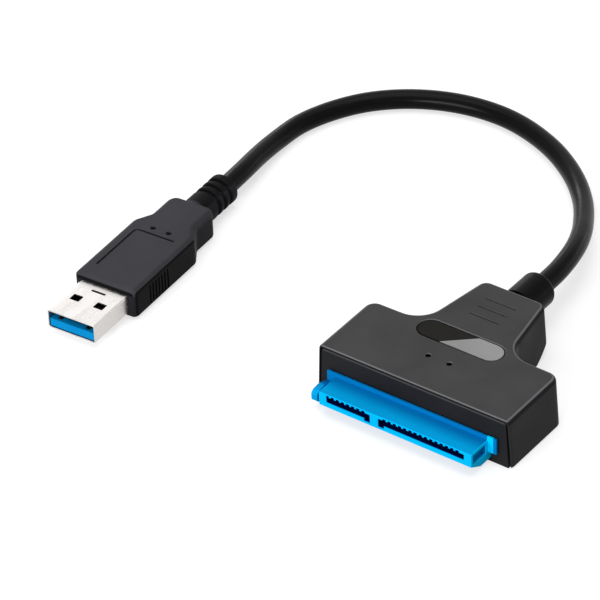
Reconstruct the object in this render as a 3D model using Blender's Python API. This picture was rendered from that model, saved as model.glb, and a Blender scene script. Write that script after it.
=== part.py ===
"""A drive adapter: a socket housing, a free round cable and a flat data plug, all lying on a surface.

Metres, +Z up. The origin is on the surface, under the middle of the socket end. The socket's width runs
along X and its open side faces -Y. Pieces of the socket end are modelled with y = 0 on the housing's
front face, and pieces of the plug with y = 0 on the moulding's front face and z = 0 on its axis.
"""

import math

import bmesh
import bpy
import numpy as np

mm = 0.001

# Clearances
seat_gap = 0.3 * mm
contact_gap = 0.11 * mm
solder_gap = 0.1 * mm

# Housing
housing_width = 46.6 * mm
housing_depth = 37.2 * mm
housing_height = 11.8 * mm
side_draft = 0.6 * mm
shoulder_depth = 18.7 * mm
shoulder_rise = 0.2 * mm
neck_base_width = 21.4 * mm
neck_width = 15.4 * mm
front_radius = 0.6 * mm
shoulder_radius = 2.5 * mm
fillet_radius = 5.8 * mm
neck_radius = 2.2 * mm
top_edge_radius = 1.1 * mm
front_edge_share = 0.4
wall = 1.5 * mm
roof_wall = 1.6 * mm
base_wall = 1.5 * mm
front_rim = 0.5 * mm
foot_edge = 0.3 * mm
ramp_length = 7.6 * mm
ramp_height = 3.2 * mm

# Marks and openings in the top
badge_length = 20.8 * mm
badge_width = 6.0 * mm
badge_depth = 0.7 * mm
badge_thickness = 0.3 * mm
badge_from_front = 17.2 * mm
light_spacing = 5.2 * mm
light_from_front = 9.4 * mm
light_hole = 1.3 * mm
line_length = 7.5 * mm
line_width = 0.35 * mm
line_depth = 0.3 * mm
line_pitch = 2.95 * mm
line_count = 3
last_line_from_rear = 5.4 * mm

# Front frame around the connector
frame_thickness = 2.4 * mm
frame_set_back = 0.1 * mm
frame_sill = 0.5 * mm
frame_edge = 0.2 * mm
frame_corner_radius = 1.2 * mm

# Drive connector
contact_pitch = 1.27 * mm
signal_contacts = 7
power_contacts = 15
signal_blade = 10.41 * mm
power_blade = 20.57 * mm
blades_overall = 33.39 * mm
blade_clearance = 0.24 * mm
slot_height = 1.3 * mm
slot_depth = 5.9 * mm
key_width = 1.3 * mm
key_drop = 1.0 * mm
socket_end_wall = 1.9 * mm
socket_height = 5.0 * mm
socket_reach = 6.5 * mm
socket_tail = 4.5 * mm
slot_below_top = 0.6 * mm
socket_lead_in = 3.3 * mm
socket_lead_rise = 1.8 * mm
flange_overhang = 2.1 * mm
flange_rise = 0.9 * mm
flange_height = 3.8 * mm
flange_thickness = 0.5 * mm
side_recess_depth = 0.8 * mm
side_recess_height = 2.1 * mm
side_recess_wall = 0.7 * mm
arm_width = 1.5 * mm
arm_gap = 1.0 * mm
arm_reach = 5.9 * mm
arm_below_top = 0.6 * mm
arm_above_bottom = 1.4 * mm
arm_slope_drop = 1.1 * mm
arm_slope_end = 2.9 * mm
arm_nose = 0.5 * mm
arm_root_reach = 4.2 * mm
arm_root_inset = 0.3 * mm
contact_width = 0.5 * mm
contact_thickness = 0.2 * mm
contact_set_back = 0.6 * mm
contact_bow_length = 3.0 * mm
contact_bow_depth = 0.35 * mm
contact_tail_length = 2.0 * mm
contact_tail_step = 1.0 * mm
channel_rise = 0.35 * mm
channel_height = 0.5 * mm

# Circuit board and what it carries
board_thickness = 1.0 * mm
board_below_contacts = 0.8 * mm
board_width = 39.0 * mm
board_depth = 10.2 * mm
board_tail_width = 11.0 * mm
board_tail_length = 11.5 * mm
post_diameter = 2.4 * mm
post_spacing = 32.0 * mm
post_inset = 2.4 * mm
lead_width = 0.4 * mm
lead_thickness = 0.2 * mm
lead_foot = 0.5 * mm
lead_pitch = 1.27 * mm
leads_per_side = 4
bridge_chip_side = 7.0 * mm
bridge_chip_height = 0.9 * mm
bridge_chip_place = (-9.0 * mm, 5.7 * mm)
flash_chip_size = (5.0 * mm, 4.0 * mm, 1.4 * mm)
flash_chip_place = (9.2 * mm, 5.5 * mm)
crystal_size = (5.0 * mm, 3.2 * mm, 1.1 * mm)
crystal_edge = 0.4 * mm
crystal_place = (0.0, 8.1 * mm)
regulator_size = (6.5 * mm, 3.5 * mm, 1.6 * mm)
regulator_place = (-1.5 * mm, 12.7 * mm)
inductor_diameter = 4.0 * mm
inductor_waist = 3.2 * mm
inductor_rim = 0.4 * mm
inductor_height = 2.0 * mm
inductor_place = (-2.4 * mm, 16.8 * mm)
led_size = (1.6 * mm, 0.9 * mm, 0.6 * mm)
led_edge = 0.1 * mm
light_guide_diameter = 0.9 * mm
light_guide_head = 2.2 * mm
light_guide_head_height = 0.6 * mm
light_guide_below_top = 0.9 * mm

# Cable, its collar and its cores
cable_diameter = 4.5 * mm
collar_diameter = 8.0 * mm
collar_length = 9.2 * mm
collar_edge = 1.1 * mm
collar_waist = 5.4 * mm
collar_flange = 6.6 * mm
collar_flange_length = 1.4 * mm
collar_axis_height = 7.2 * mm
core_diameter = 0.8 * mm
core_spacing = 1.3 * mm
core_bunch_spacing = 0.8 * mm
core_bunch_rise = 0.52 * mm
core_run = 8.5 * mm

# Plug moulding, with its ribbed boot in one piece
moulding_width = 15.6 * mm
moulding_height = 7.4 * mm
moulding_length = 34.2 * mm
moulding_edge = 1.0 * mm
moulding_edge_height = 0.8 * mm
moulding_shoulder = 22.6 * mm
moulding_neck_start = 26.3 * mm
moulding_neck_width = 11.2 * mm
moulding_front_radius = 1.3 * mm
moulding_shoulder_radius = 2.4 * mm
moulding_rear_radius = 2.2 * mm
mark_width = 0.45 * mm
mark_depth = 0.35 * mm
mark_inset = 2.8 * mm
mark_start = 4.6 * mm
mark_end = 19.4 * mm
mark_right_inset = 3.1 * mm
dot_diameter = 1.1 * mm
dot_spacing = 4.0 * mm
dot_place = 21.4 * mm
grip_count = 7
grip_pitch = 1.1 * mm
grip_width = 0.5 * mm
grip_depth = 0.3 * mm
grip_start = 5.6 * mm
grip_height = 4.6 * mm
boot_diameter = 7.1 * mm
boot_length = 11.4 * mm
boot_groove_depth = 0.7 * mm
boot_groove_width = 1.1 * mm
boot_groove_pitch = 2.25 * mm
boot_grooves = 3
boot_last_groove = 2.4 * mm
boot_end_radius = 0.9 * mm

# Metal plug
plug_width = 12.0 * mm
plug_height = 4.5 * mm
plug_reach = 12.3 * mm
plug_inside_length = 9.5 * mm
plug_wall = 0.3 * mm
plug_corner = 0.5 * mm
window_width = 2.3 * mm
window_length = 2.0 * mm
window_spacing = 6.0 * mm
window_place = 5.85 * mm
slit_width = 3.5 * mm
slit_length = 0.6 * mm
slit_place = 2.05 * mm
tongue_thickness = 1.85 * mm
tongue_set_back = 0.25 * mm
tongue_side_gap = 0.2 * mm
front_contact_places = (-3.5 * mm, -1.0 * mm, 1.0 * mm, 3.5 * mm)
front_contact_width = 1.0 * mm
front_contact_thickness = 0.18 * mm
front_contact_setbacks = (1.0 * mm, 2.0 * mm, 2.0 * mm, 1.0 * mm)
front_channel_depth = 0.36 * mm
rear_contact_pitch = 2.0 * mm
rear_contact_width = 0.6 * mm
rear_contact_thickness = 0.16 * mm
rear_contact_reach = 4.2 * mm
rear_contact_rise = 0.3 * mm
rear_contact_bow = 0.7 * mm
rear_channel_rise = 0.14 * mm
rear_channel_height = 0.5 * mm
rear_block_reach = 0.8 * mm
rear_block_length = 9.0 * mm
plug_tail_reach = 1.2 * mm
inner_mould_length = 7.5 * mm

# Where the plug lies
plug_place = (-77.05 * mm, -22.7 * mm)
plug_turn = math.radians(3.6)

# The cable's route from the collar round to the boot, chosen by hand
cable_route = (
    (0.0, 26.8, 7.2),
    (-0.1, 33.1, 7.25),
    (-0.8, 38.1, 7.15),
    (-1.9, 42.4, 6.75),
    (-4.3, 48.4, 5.7),
    (-8.0, 55.1, 4.25),
    (-13.2, 62.6, 2.85),
    (-20.0, 69.6, 2.25),
    (-31.0, 76.6, 2.25),
    (-46.9, 80.7, 2.25),
    (-58.7, 79.1, 2.25),
    (-68.5, 74.3, 2.25),
    (-74.6, 68.8, 2.25),
    (-79.2, 61.6, 2.25),
    (-82.1, 53.1, 2.25),
    (-82.5, 46.1, 2.3),
    (-81.8, 38.2, 2.95),
    (-80.6, 30.7, 3.6),
    (-79.93, 23.11, 3.7),
)
cable_step = 2.0 * cable_diameter

# Worked out from the values above
total_length = socket_reach + housing_depth + collar_length
front_y = socket_reach - total_length / 2
side_wall_top = housing_height - top_edge_radius
roof = housing_height - roof_wall
rear_wall = housing_depth - wall
frame_rear = frame_set_back + frame_thickness
socket_half_width = blades_overall / 2 + blade_clearance / 2 + socket_end_wall
socket_bottom = frame_sill + seat_gap
socket_top = socket_bottom + socket_height
slot_top = socket_top - slot_below_top
slot_bottom = slot_top - slot_height
flange_top = socket_top + flange_rise
flange_back = frame_set_back - seat_gap
flange_front = flange_back - flange_thickness
contact_level = slot_top + channel_rise - contact_gap - contact_thickness / 2
board_top = contact_level - board_below_contacts
board_bottom = board_top - board_thickness
board_front = socket_tail + seat_gap
board_rear = board_front + board_depth + board_tail_length
mount_height = board_top + solder_gap
plug_half_inside = plug_height / 2 - plug_wall
tongue_bottom = -plug_half_inside + tongue_side_gap
tongue_top = tongue_bottom + tongue_thickness
plug_tail_end = rear_block_length + plug_tail_reach
inner_mould_start = plug_tail_end + seat_gap
pocket_depth = inner_mould_start + inner_mould_length + seat_gap


def srgb(red, green, blue):
    """The linear colour of three display values from 0 to 255."""
    values = []
    for value in (red, green, blue):
        share = value / 255
        values.append(share / 12.92 if share <= 0.04045 else ((share + 0.055) / 1.055) ** 2.4)
    return (*values, 1.0)


def make_material(name, colour, roughness, metallic=0.0):
    material = bpy.data.materials.new(name)
    material.use_nodes = True
    shader = material.node_tree.nodes["Principled BSDF"]
    shader.inputs["Base Color"].default_value = colour
    shader.inputs["Roughness"].default_value = roughness
    shader.inputs["Metallic"].default_value = metallic
    return material


def make_empty(name, location, turn=0.0):
    empty = bpy.data.objects.new(name, None)
    empty.location = location
    empty.rotation_euler = (0.0, 0.0, turn)
    bpy.context.scene.collection.objects.link(empty)
    return empty


def make_object(name, points, faces, parent, material=None):
    """An object with its faces turned outwards. Without a material it is a helper, left out of renders."""
    mesh = bpy.data.meshes.new(name)
    shape = bmesh.new()
    corners = [shape.verts.new(point) for point in points]
    for face in faces:
        shape.faces.new([corners[index] for index in face])
    bmesh.ops.recalc_face_normals(shape, faces=shape.faces)
    shape.to_mesh(mesh)
    shape.free()
    thing = bpy.data.objects.new(name, mesh)
    thing.parent = parent
    bpy.context.scene.collection.objects.link(thing)
    if material is None:
        thing.hide_render = True
        thing.display_type = "WIRE"
    else:
        mesh.materials.append(material)
    return thing


def loft(name, loops, parent, material=None):
    """Loops with equally many points, joined one to the next and closed at both ends."""
    count = len(loops[0])
    points = [point for loop in loops for point in loop]
    faces = [list(range(count)), list(range(len(points) - count, len(points)))]
    for level in range(len(loops) - 1):
        first = level * count
        for index in range(count):
            after = (index + 1) % count
            faces.append((first + index, first + after, first + count + after, first + count + index))
    return make_object(name, points, faces, parent, material)


def boxes(name, bounds, parent, material=None):
    """Separate boxes in one mesh, each given as x, y and z ranges."""
    points = []
    faces = []
    for x_range, y_range, z_range in bounds:
        first = len(points)
        points += [(x, y, z) for z in z_range for y in y_range for x in x_range]
        sides = ((0, 1, 3, 2), (4, 5, 7, 6), (0, 1, 5, 4), (2, 3, 7, 6), (0, 2, 6, 4), (1, 3, 7, 5))
        faces += [[first + corner for corner in side] for side in sides]
    return make_object(name, points, faces, parent, material)


def around(centre, width):
    return (centre - width / 2, centre + width / 2)


def prism_x(name, outline, x_range, parent, material=None):
    """An outline of (y, z) points, carried along X."""
    loops = [[(x, y, z) for y, z in outline] for x in x_range]
    return loft(name, loops, parent, material)


def turned_y(name, profile, centre, parent, material=None, sides=32):
    """A profile of (y, radius) points turned about a line along Y through centre."""
    angles = [2 * math.pi * index / sides for index in range(sides)]
    loops = []
    for y, radius in profile:
        loops.append([
            (centre[0] + radius * math.cos(angle), y, centre[1] + radius * math.sin(angle))
            for angle in angles
        ])
    return loft(name, loops, parent, material)


def upright(name, profile, centre, parent, material=None, sides=20):
    """A profile of (z, radius) points turned about a vertical line through centre."""
    angles = [2 * math.pi * index / sides for index in range(sides)]
    loops = []
    for z, radius in profile:
        loops.append([
            (centre[0] + radius * math.cos(angle), centre[1] + radius * math.sin(angle), z)
            for angle in angles
        ])
    return loft(name, loops, parent, material)


def rounded_outline(corners, offset=0.0, side_offset=0.0, steps=6):
    """A counterclockwise outline of (x, y, radius) corners, moved outwards and rounded.

    The first edge moves by offset alone, and every other edge by offset and side_offset.
    """
    places = np.array([corner[:2] for corner in corners])
    along = np.roll(places, -1, axis=0) - places
    along /= np.linalg.norm(along, axis=1)[:, None]
    outward = np.stack([along[:, 1], -along[:, 0]], axis=1)
    moves = np.full(len(corners), offset + side_offset)
    moves[0] = offset
    outline = []
    for index, (_, _, radius) in enumerate(corners):
        edges = [index - 1, index]
        levels = [outward[edge] @ places[edge] + moves[edge] for edge in edges]
        corner = np.linalg.solve(outward[edges], levels)
        turn = math.atan2(np.cross(along[index - 1], along[index]), along[index - 1] @ along[index])
        side = math.copysign(1.0, turn)
        bend = max(radius + side * moves[index], 0.02 * mm)
        start = corner - along[index - 1] * bend * math.tan(abs(turn) / 2)
        centre = start - side * outward[index - 1] * bend
        first = math.atan2(*(start - centre)[::-1])
        for step in range(steps + 1):
            angle = first + turn * step / steps
            outline.append((centre[0] + bend * math.cos(angle), centre[1] + bend * math.sin(angle)))
    return outline


def at_height(outline, z):
    return [(x, y, z) for x, y in outline]


def rounded_box(name, size, centre, bottom, parent, material, edge=0.15 * mm):
    """A small moulded body with its upright edges rounded and its top edge broken."""
    half_x, half_y = size[0] / 2, size[1] / 2
    corners = [
        (centre[0] - half_x, centre[1] - half_y, edge),
        (centre[0] + half_x, centre[1] - half_y, edge),
        (centre[0] + half_x, centre[1] + half_y, edge),
        (centre[0] - half_x, centre[1] + half_y, edge),
    ]
    loops = [
        at_height(rounded_outline(corners, steps=2), bottom),
        at_height(rounded_outline(corners, steps=2), bottom + size[2] - edge),
        at_height(rounded_outline(corners, offset=-edge, steps=2), bottom + size[2]),
    ]
    return loft(name, loops, parent, material)


def combine(target, other, operation):
    modifier = target.modifiers.new(operation.title(), "BOOLEAN")
    modifier.operation = operation
    modifier.solver = "EXACT"
    modifier.object = other


def smooth_round(thing, degrees=35):
    thing.data.shade_smooth()
    thing.data.set_sharp_from_angle(angle=math.radians(degrees))


def ribbon(path, thickness):
    """The closed outline of a strip of even thickness that follows a path of (y, z) points."""
    places = np.array(path)
    along = np.gradient(places, axis=0)
    along /= np.linalg.norm(along, axis=1)[:, None]
    across = np.stack([-along[:, 1], along[:, 0]], axis=1) * thickness / 2
    return [tuple(place) for place in np.concatenate([places + across, (places - across)[::-1]])]


def smooth_curve(route, step):
    """Points about a step apart on a smooth curve through the route's points.

    Between two points it is a cubic whose slopes at both ends weigh the neighbouring chords by length.
    """
    gaps = np.linalg.norm(np.diff(route, axis=0), axis=1)[:, None]
    chords = np.diff(route, axis=0) / gaps
    inner = (chords[:-1] * gaps[1:] + chords[1:] * gaps[:-1]) / (gaps[:-1] + gaps[1:])
    slopes = np.vstack([chords[0], inner, chords[-1]])
    t = np.linspace(0.0, 1.0, 24, endpoint=False)[:, None]
    dense = []
    for index, gap in enumerate(gaps):
        leave = (1 + 2 * t) * (1 - t) ** 2 * route[index] + t * (1 - t) ** 2 * gap * slopes[index]
        arrive = t ** 2 * (3 - 2 * t) * route[index + 1] + t ** 2 * (t - 1) * gap * slopes[index + 1]
        dense.append(leave + arrive)
    dense = np.vstack([*dense, route[-1]])
    travelled = np.concatenate([[0.0], np.cumsum(np.linalg.norm(np.diff(dense, axis=0), axis=1))])
    places = np.linspace(0.0, travelled[-1], round(travelled[-1] / step) + 1)
    return np.stack([np.interp(places, travelled, dense[:, axis]) for axis in range(3)], axis=1)


def make_tube(name, points, diameter, parent, material, sides_step=2):
    """A round tube along points, as a curve object with closed ends."""
    curve = bpy.data.curves.new(name, "CURVE")
    curve.dimensions = "3D"
    curve.bevel_depth = diameter / 2
    curve.bevel_resolution = sides_step
    curve.use_fill_caps = True
    spline = curve.splines.new("POLY")
    spline.points.add(len(points) - 1)
    for spot, point in zip(spline.points, points):
        spot.co = (*point, 1.0)
    curve.materials.append(material)
    tube = bpy.data.objects.new(name, curve)
    tube.parent = parent
    bpy.context.scene.collection.objects.link(tube)
    return tube


# The housing


def housing_corners(front=0.0):
    """The housing's outline from above, counterclockwise from its front left corner."""
    side = housing_width / 2
    base = neck_base_width / 2
    neck = neck_width / 2
    neck_start = shoulder_depth + shoulder_rise
    return [
        (-side, front, front_radius),
        (side, front, front_radius),
        (side, shoulder_depth, shoulder_radius),
        (base, neck_start, fillet_radius),
        (neck, housing_depth, neck_radius),
        (-neck, housing_depth, neck_radius),
        (-base, neck_start, fillet_radius),
        (-side, shoulder_depth, shoulder_radius),
    ]


def draft_at(z):
    return side_draft * (1 - z / housing_height)


def ramp_profile(rise, front, top):
    """The rear underside in (y, z), rise above the outside: flat, then curving up to the rear face."""
    start = housing_depth - ramp_length
    steps = 6
    profile = [(front, rise)]
    for step in range(steps + 1):
        share = step / steps
        profile.append((start + ramp_length * share, rise + ramp_height * share ** 1.6))
    return profile + [(profile[-1][0], top), (front, top)]


def cut_marks(shell, parent):
    """The badge's recess, the light holes and the engraved lines in the housing's top."""
    half = badge_length / 2
    recess = stadium("badge_recess", half, badge_width / 2, housing_height - badge_depth,
                     housing_height + wall, parent)
    combine(shell, recess, "DIFFERENCE")
    for side in (-1, 1):
        hole = upright("light_hole", [(roof - wall, light_hole / 2), (housing_height + wall, light_hole / 2)],
                       (side * light_spacing / 2, light_from_front), parent)
        combine(shell, hole, "DIFFERENCE")
    lines = []
    for index in range(line_count):
        y = housing_depth - last_line_from_rear - index * line_pitch
        lines.append((around(0, line_length), around(y, line_width),
                      (housing_height - line_depth, housing_height + wall)))
    combine(shell, boxes("engraved_lines", lines, parent), "DIFFERENCE")


def stadium(name, half_length, radius, bottom, top, parent, material=None):
    """A plate or cutter with two round ends, centred where the badge is."""
    steps = 12
    outline = []
    for side in (1, -1):
        for step in range(steps + 1):
            angle = math.pi * (step / steps - side / 2)
            outline.append((side * (half_length - radius) + radius * math.cos(angle),
                            badge_from_front + radius * math.sin(angle)))
    return loft(name, [at_height(outline, bottom), at_height(outline, top)], parent, material)


def frame_outline(y, gap, foot, offset=0.0):
    """The front opening's outline in the XZ plane, narrowed by gap, from the height foot up."""
    top = housing_height - front_rim - gap
    half_top = housing_width / 2 - front_rim - gap + draft_at(top)
    half_foot = housing_width / 2 - front_rim - gap + draft_at(foot)
    corners = [
        (-half_foot, foot, 0.0),
        (half_foot, foot, 0.0),
        (half_top, top, frame_corner_radius - gap),
        (-half_top, top, frame_corner_radius - gap),
    ]
    return [(x, y, z) for x, z in rounded_outline(corners, offset=offset, steps=4)]


def make_upper_shell(parent, material):
    corners = housing_corners()
    side_share = 1 - front_edge_share
    levels = [(0.0, -foot_edge), (foot_edge, 0.0)]
    for step in range(5):
        angle = math.radians(22.5 * step)
        levels.append((side_wall_top + top_edge_radius * math.sin(angle),
                       top_edge_radius * (math.cos(angle) - 1)))
    loops = [at_height(rounded_outline(corners, front_edge_share * offset, draft_at(z) + side_share * offset), z)
             for z, offset in levels]
    shell = loft("upper_shell", loops, parent, material)
    combine(shell, make_ramp_cutter(parent), "DIFFERENCE")
    combine(shell, make_cavity(parent), "DIFFERENCE")
    opening = loft("front_opening", [frame_outline(y, 0.0, -wall) for y in (-wall, frame_rear + seat_gap)],
                   parent)
    combine(shell, opening, "DIFFERENCE")
    cut_marks(shell, parent)
    bore = turned_y("collar_bore", [
        (rear_wall - 2 * seat_gap - collar_flange_length, collar_flange / 2 + seat_gap),
        (rear_wall, collar_flange / 2 + seat_gap),
        (rear_wall, collar_waist / 2 + seat_gap),
        (housing_depth + wall, collar_waist / 2 + seat_gap),
    ], (0.0, collar_axis_height), parent)
    combine(shell, bore, "DIFFERENCE")
    for index, place in enumerate(post_places()):
        rib = upright(f"press_post_{index}", [(board_top + seat_gap, post_diameter / 2),
                                              (roof + roof_wall / 2, post_diameter / 2)], place, parent)
        combine(shell, rib, "UNION")
    smooth_round(shell)
    return shell


def make_ramp_cutter(parent):
    outside = housing_width
    profile = ramp_profile(0.0, 0.0, 0.0)[1:-2]
    below = [(profile[-1][0] + wall, profile[-1][1]), (profile[-1][0] + wall, -wall), (profile[0][0], -wall)]
    return prism_x("ramp_cutter", profile + below, (-outside, outside), parent)


def make_cavity(parent):
    """The room inside the housing, which is open below as far back as the base plate reaches."""
    corners = housing_corners(front=frame_rear - wall)
    loops = [at_height(rounded_outline(corners, -wall, draft_at(z) if z > 0 else side_draft), z)
             for z in (-wall, 0.0, roof)]
    room = loft("cavity", loops, parent)
    base_rear = housing_depth - ramp_length - wall
    inside = ramp_profile(base_wall, base_rear, roof + wall)
    inside = [(y - wall if y > base_rear else y, z) for y, z in inside]
    profile = [(-wall, -2 * wall), (base_rear, -2 * wall)] + inside[:-1] + [(-wall, roof + wall)]
    combine(room, prism_x("cavity_profile", profile, (-housing_width, housing_width), parent), "INTERSECT")
    return room


def post_places():
    """Where posts on the base and under the roof hold the board: four beside the chips, one on its tail."""
    half = post_spacing / 2
    first = board_front + post_inset
    last = board_front + board_depth - post_diameter
    tail = board_front + board_depth + post_inset
    return [(-half, first), (half, first), (-half, last), (half, last), (1.5 * post_diameter, tail)]


def make_lower_shell(parent, material):
    """The base plate, let in between the side walls, with posts under the board."""
    corners = housing_corners(front=frame_rear - wall)
    offset = -wall - seat_gap
    corners[0] = (*corners[0][:2], 0.0)
    corners[1] = (*corners[1][:2], 0.0)
    loops = [at_height(rounded_outline(corners, offset, draft_at(z)), z) for z in (0.0, base_wall)]
    plate = loft("lower_shell", loops, parent, material)
    base_rear = housing_depth - ramp_length - wall - seat_gap
    beyond = boxes("base_end_cutter", [(around(0, housing_width), (base_rear, housing_depth + wall),
                                        (-wall, 2 * base_wall))], parent)
    combine(plate, beyond, "DIFFERENCE")
    seat = boxes("connector_seat", [(around(0, 2 * (socket_half_width + seat_gap)),
                                     (-wall, socket_tail + seat_gap), (frame_sill, 2 * base_wall))], parent)
    combine(plate, seat, "DIFFERENCE")
    for index, place in enumerate(post_places()):
        post = upright(f"board_post_{index}", [(base_wall / 2, post_diameter / 2),
                                               (board_bottom - seat_gap, post_diameter / 2)], place, parent)
        combine(plate, post, "UNION")
    return plate


def make_front_frame(parent, material):
    """The flat front of the housing, set into its rim, with the connector's opening."""
    loops = [
        frame_outline(frame_set_back, seat_gap, 0.0, -frame_edge),
        frame_outline(frame_set_back + frame_edge, seat_gap, 0.0),
        frame_outline(frame_rear, seat_gap, 0.0),
    ]
    frame = loft("front_frame", loops, parent, material)
    opening = boxes("connector_opening", [(
        around(0, 2 * (socket_half_width + seat_gap)),
        (-wall, frame_rear + wall),
        (frame_sill, socket_top + seat_gap),
    )], parent)
    combine(frame, opening, "DIFFERENCE")
    return frame


# The drive connector


def blade_starts():
    """The left edges of the signal and the power blade's slots."""
    left = -(blades_overall + blade_clearance) / 2
    right = (blades_overall + blade_clearance) / 2
    return left, right - power_blade - blade_clearance


def contact_places(start, blade, count):
    """The middles of a blade's contacts along X, centred in the straight part of its slot."""
    middle = start + (blade + blade_clearance) / 2
    return [middle + (index - (count - 1) / 2) * contact_pitch for index in range(count)]


def make_socket_insulator(parent, material):
    lead_y = -socket_reach + socket_lead_in
    profile = [
        (-socket_reach, socket_bottom + socket_lead_rise),
        (lead_y, socket_bottom),
        (socket_tail, socket_bottom),
        (socket_tail, socket_top),
        (-socket_reach, socket_top),
    ]
    body = prism_x("socket_insulator", profile, (-socket_half_width, socket_half_width), parent, material)
    half_flange = socket_half_width + flange_overhang
    flange = boxes("socket_flange", [(
        (-half_flange, half_flange), (flange_front, flange_back), (flange_top - flange_height, flange_top)
    )], parent)
    combine(body, flange, "UNION")
    combine(body, make_guide_arm(parent), "UNION")
    combine(body, cut_slots(parent), "DIFFERENCE")
    combine(body, cut_keys(parent), "DIFFERENCE")
    combine(body, cut_channels(parent), "DIFFERENCE")
    recess = boxes("side_recess", [(
        (socket_half_width - side_recess_depth, socket_half_width + wall),
        (-socket_reach + side_recess_wall, flange_front - side_recess_wall),
        (socket_top - side_recess_wall - side_recess_height, socket_top - side_recess_wall),
    )], parent)
    combine(body, recess, "DIFFERENCE")
    return body


def make_guide_arm(parent):
    """The guide arm at the connector's left, joined to it at its root and free at its tip."""
    top = socket_top - arm_below_top
    bottom = socket_bottom + arm_above_bottom
    inner = -socket_half_width - arm_gap
    profile = [
        (flange_back, bottom),
        (flange_back, top - arm_slope_drop),
        (-arm_slope_end, top),
        (-arm_reach + arm_nose, top - arm_nose / 2),
        (-arm_reach, top - 1.5 * arm_nose),
        (-arm_reach, bottom + arm_nose),
        (-arm_reach + arm_nose, bottom),
    ]
    arm = prism_x("guide_arm", profile, (inner - arm_width, inner), parent)
    root = boxes("guide_arm_root", [(
        (inner - arm_width / 2, -socket_half_width + wall / 2),
        (-arm_root_reach, (flange_front + flange_back) / 2),
        (bottom + arm_root_inset, top - arm_slope_drop - arm_root_inset),
    )], parent)
    combine(arm, root, "UNION")
    return arm


def cut_slots(parent):
    """The straight parts of the two L-shaped slots."""
    bounds = []
    depth = (-socket_reach - wall, -socket_reach + slot_depth)
    for start, blade in zip(blade_starts(), (signal_blade, power_blade)):
        bounds.append(((start, start + blade + blade_clearance), depth, (slot_bottom, slot_top)))
    return boxes("blade_slots", bounds, parent)


def cut_keys(parent):
    """The short legs of the two slots, one either side of the wall between them."""
    signal_start, power_start = blade_starts()
    signal_end = signal_start + signal_blade + blade_clearance
    depth = (-socket_reach - wall, -socket_reach + slot_depth)
    heights = (slot_bottom - key_drop, slot_bottom + slot_height / 2)
    return boxes("blade_keys", [
        ((signal_end - key_width, signal_end), depth, heights),
        ((power_start, power_start + key_width), depth, heights),
    ], parent)


def all_contact_places():
    signal_start, power_start = blade_starts()
    signal = contact_places(signal_start, signal_blade, signal_contacts)
    power = contact_places(power_start, power_blade, power_contacts)
    return signal, power


def cut_channels(parent):
    """A channel for each contact, along the top of its slot and on through the connector."""
    signal, power = all_contact_places()
    top = slot_top + channel_rise
    bounds = []
    for x in signal + power:
        bounds.append((around(x, contact_width + 2 * contact_gap), (-socket_reach - wall, socket_tail + wall),
                       (top - channel_height, top)))
    return boxes("contact_channels", bounds, parent)


def make_contacts(parent, material):
    """Spring contacts: a bowed tip in the slot, a straight run, and a tail that steps down to the board."""
    tail = mount_height + contact_thickness / 2
    tip = -socket_reach + contact_set_back
    tail_start = board_front + contact_tail_step
    path = [(tip, contact_level)]
    for step in range(1, 4):
        share = step / 4
        dip = contact_bow_depth * math.sin(math.pi * share)
        path.append((tip + contact_bow_length * share, contact_level - dip))
    path += [
        (tip + contact_bow_length, contact_level),
        (board_front - solder_gap, contact_level),
        ((board_front + tail_start) / 2, (contact_level + tail) / 2),
        (tail_start, tail),
        (board_front + contact_tail_length, tail),
    ]
    outline = ribbon(path, contact_thickness)
    for kind, places in zip(("signal", "power"), all_contact_places()):
        for number, x in enumerate(places, start=1):
            prism_x(f"{kind}_contact_{number}", outline, around(x, contact_width), parent, material)


# The board and what it carries


def make_board(parent, material):
    half = board_width / 2
    tail = board_tail_width / 2
    shoulder = board_front + board_depth
    corners = [
        (-half, board_front, 0.5 * mm),
        (half, board_front, 0.5 * mm),
        (half, shoulder, 0.5 * mm),
        (tail, shoulder, 1.0 * mm),
        (tail, board_rear, 0.5 * mm),
        (-tail, board_rear, 0.5 * mm),
        (-tail, shoulder, 1.0 * mm),
        (-half, shoulder, 0.5 * mm),
    ]
    outline = rounded_outline(corners, steps=3)
    loft("circuit_board", [at_height(outline, board_bottom), at_height(outline, board_top)], parent, material)


def on_board(place):
    """A place given from the middle of the board's front edge."""
    return (place[0], board_front + place[1])


def make_leaded_chip(name, size, centre, parent, material):
    """A chip body with gull-wing leads on its two long sides."""
    foot = mount_height + lead_thickness / 2
    chip = rounded_box(name, (size[0], size[1], size[2] - lead_thickness), centre,
                       mount_height + lead_thickness, parent, material)
    knee = size[1] / 2 + lead_foot / 2
    shoulder = mount_height + size[2] / 2
    path = [
        (-knee - lead_foot, foot),
        (-knee, foot),
        (-knee, shoulder),
        (knee, shoulder),
        (knee, foot),
        (knee + lead_foot, foot),
    ]
    outline = [(centre[1] + y, z) for y, z in ribbon(path, lead_thickness)]
    for index in range(leads_per_side):
        x = centre[0] + (index - (leads_per_side - 1) / 2) * lead_pitch
        lead = prism_x(f"{name}_lead_{index}", outline, around(x, lead_width), parent)
        combine(chip, lead, "UNION")


def make_inductor(parent, material):
    rim = inductor_diameter / 2
    waist = inductor_waist / 2
    top = mount_height + inductor_height
    upright("inductor", [
        (mount_height, rim),
        (mount_height + inductor_rim, rim),
        (mount_height + inductor_rim, waist),
        (top - inductor_rim, waist),
        (top - inductor_rim, rim),
        (top, rim),
    ], on_board(inductor_place), parent, material, sides=16)


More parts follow.
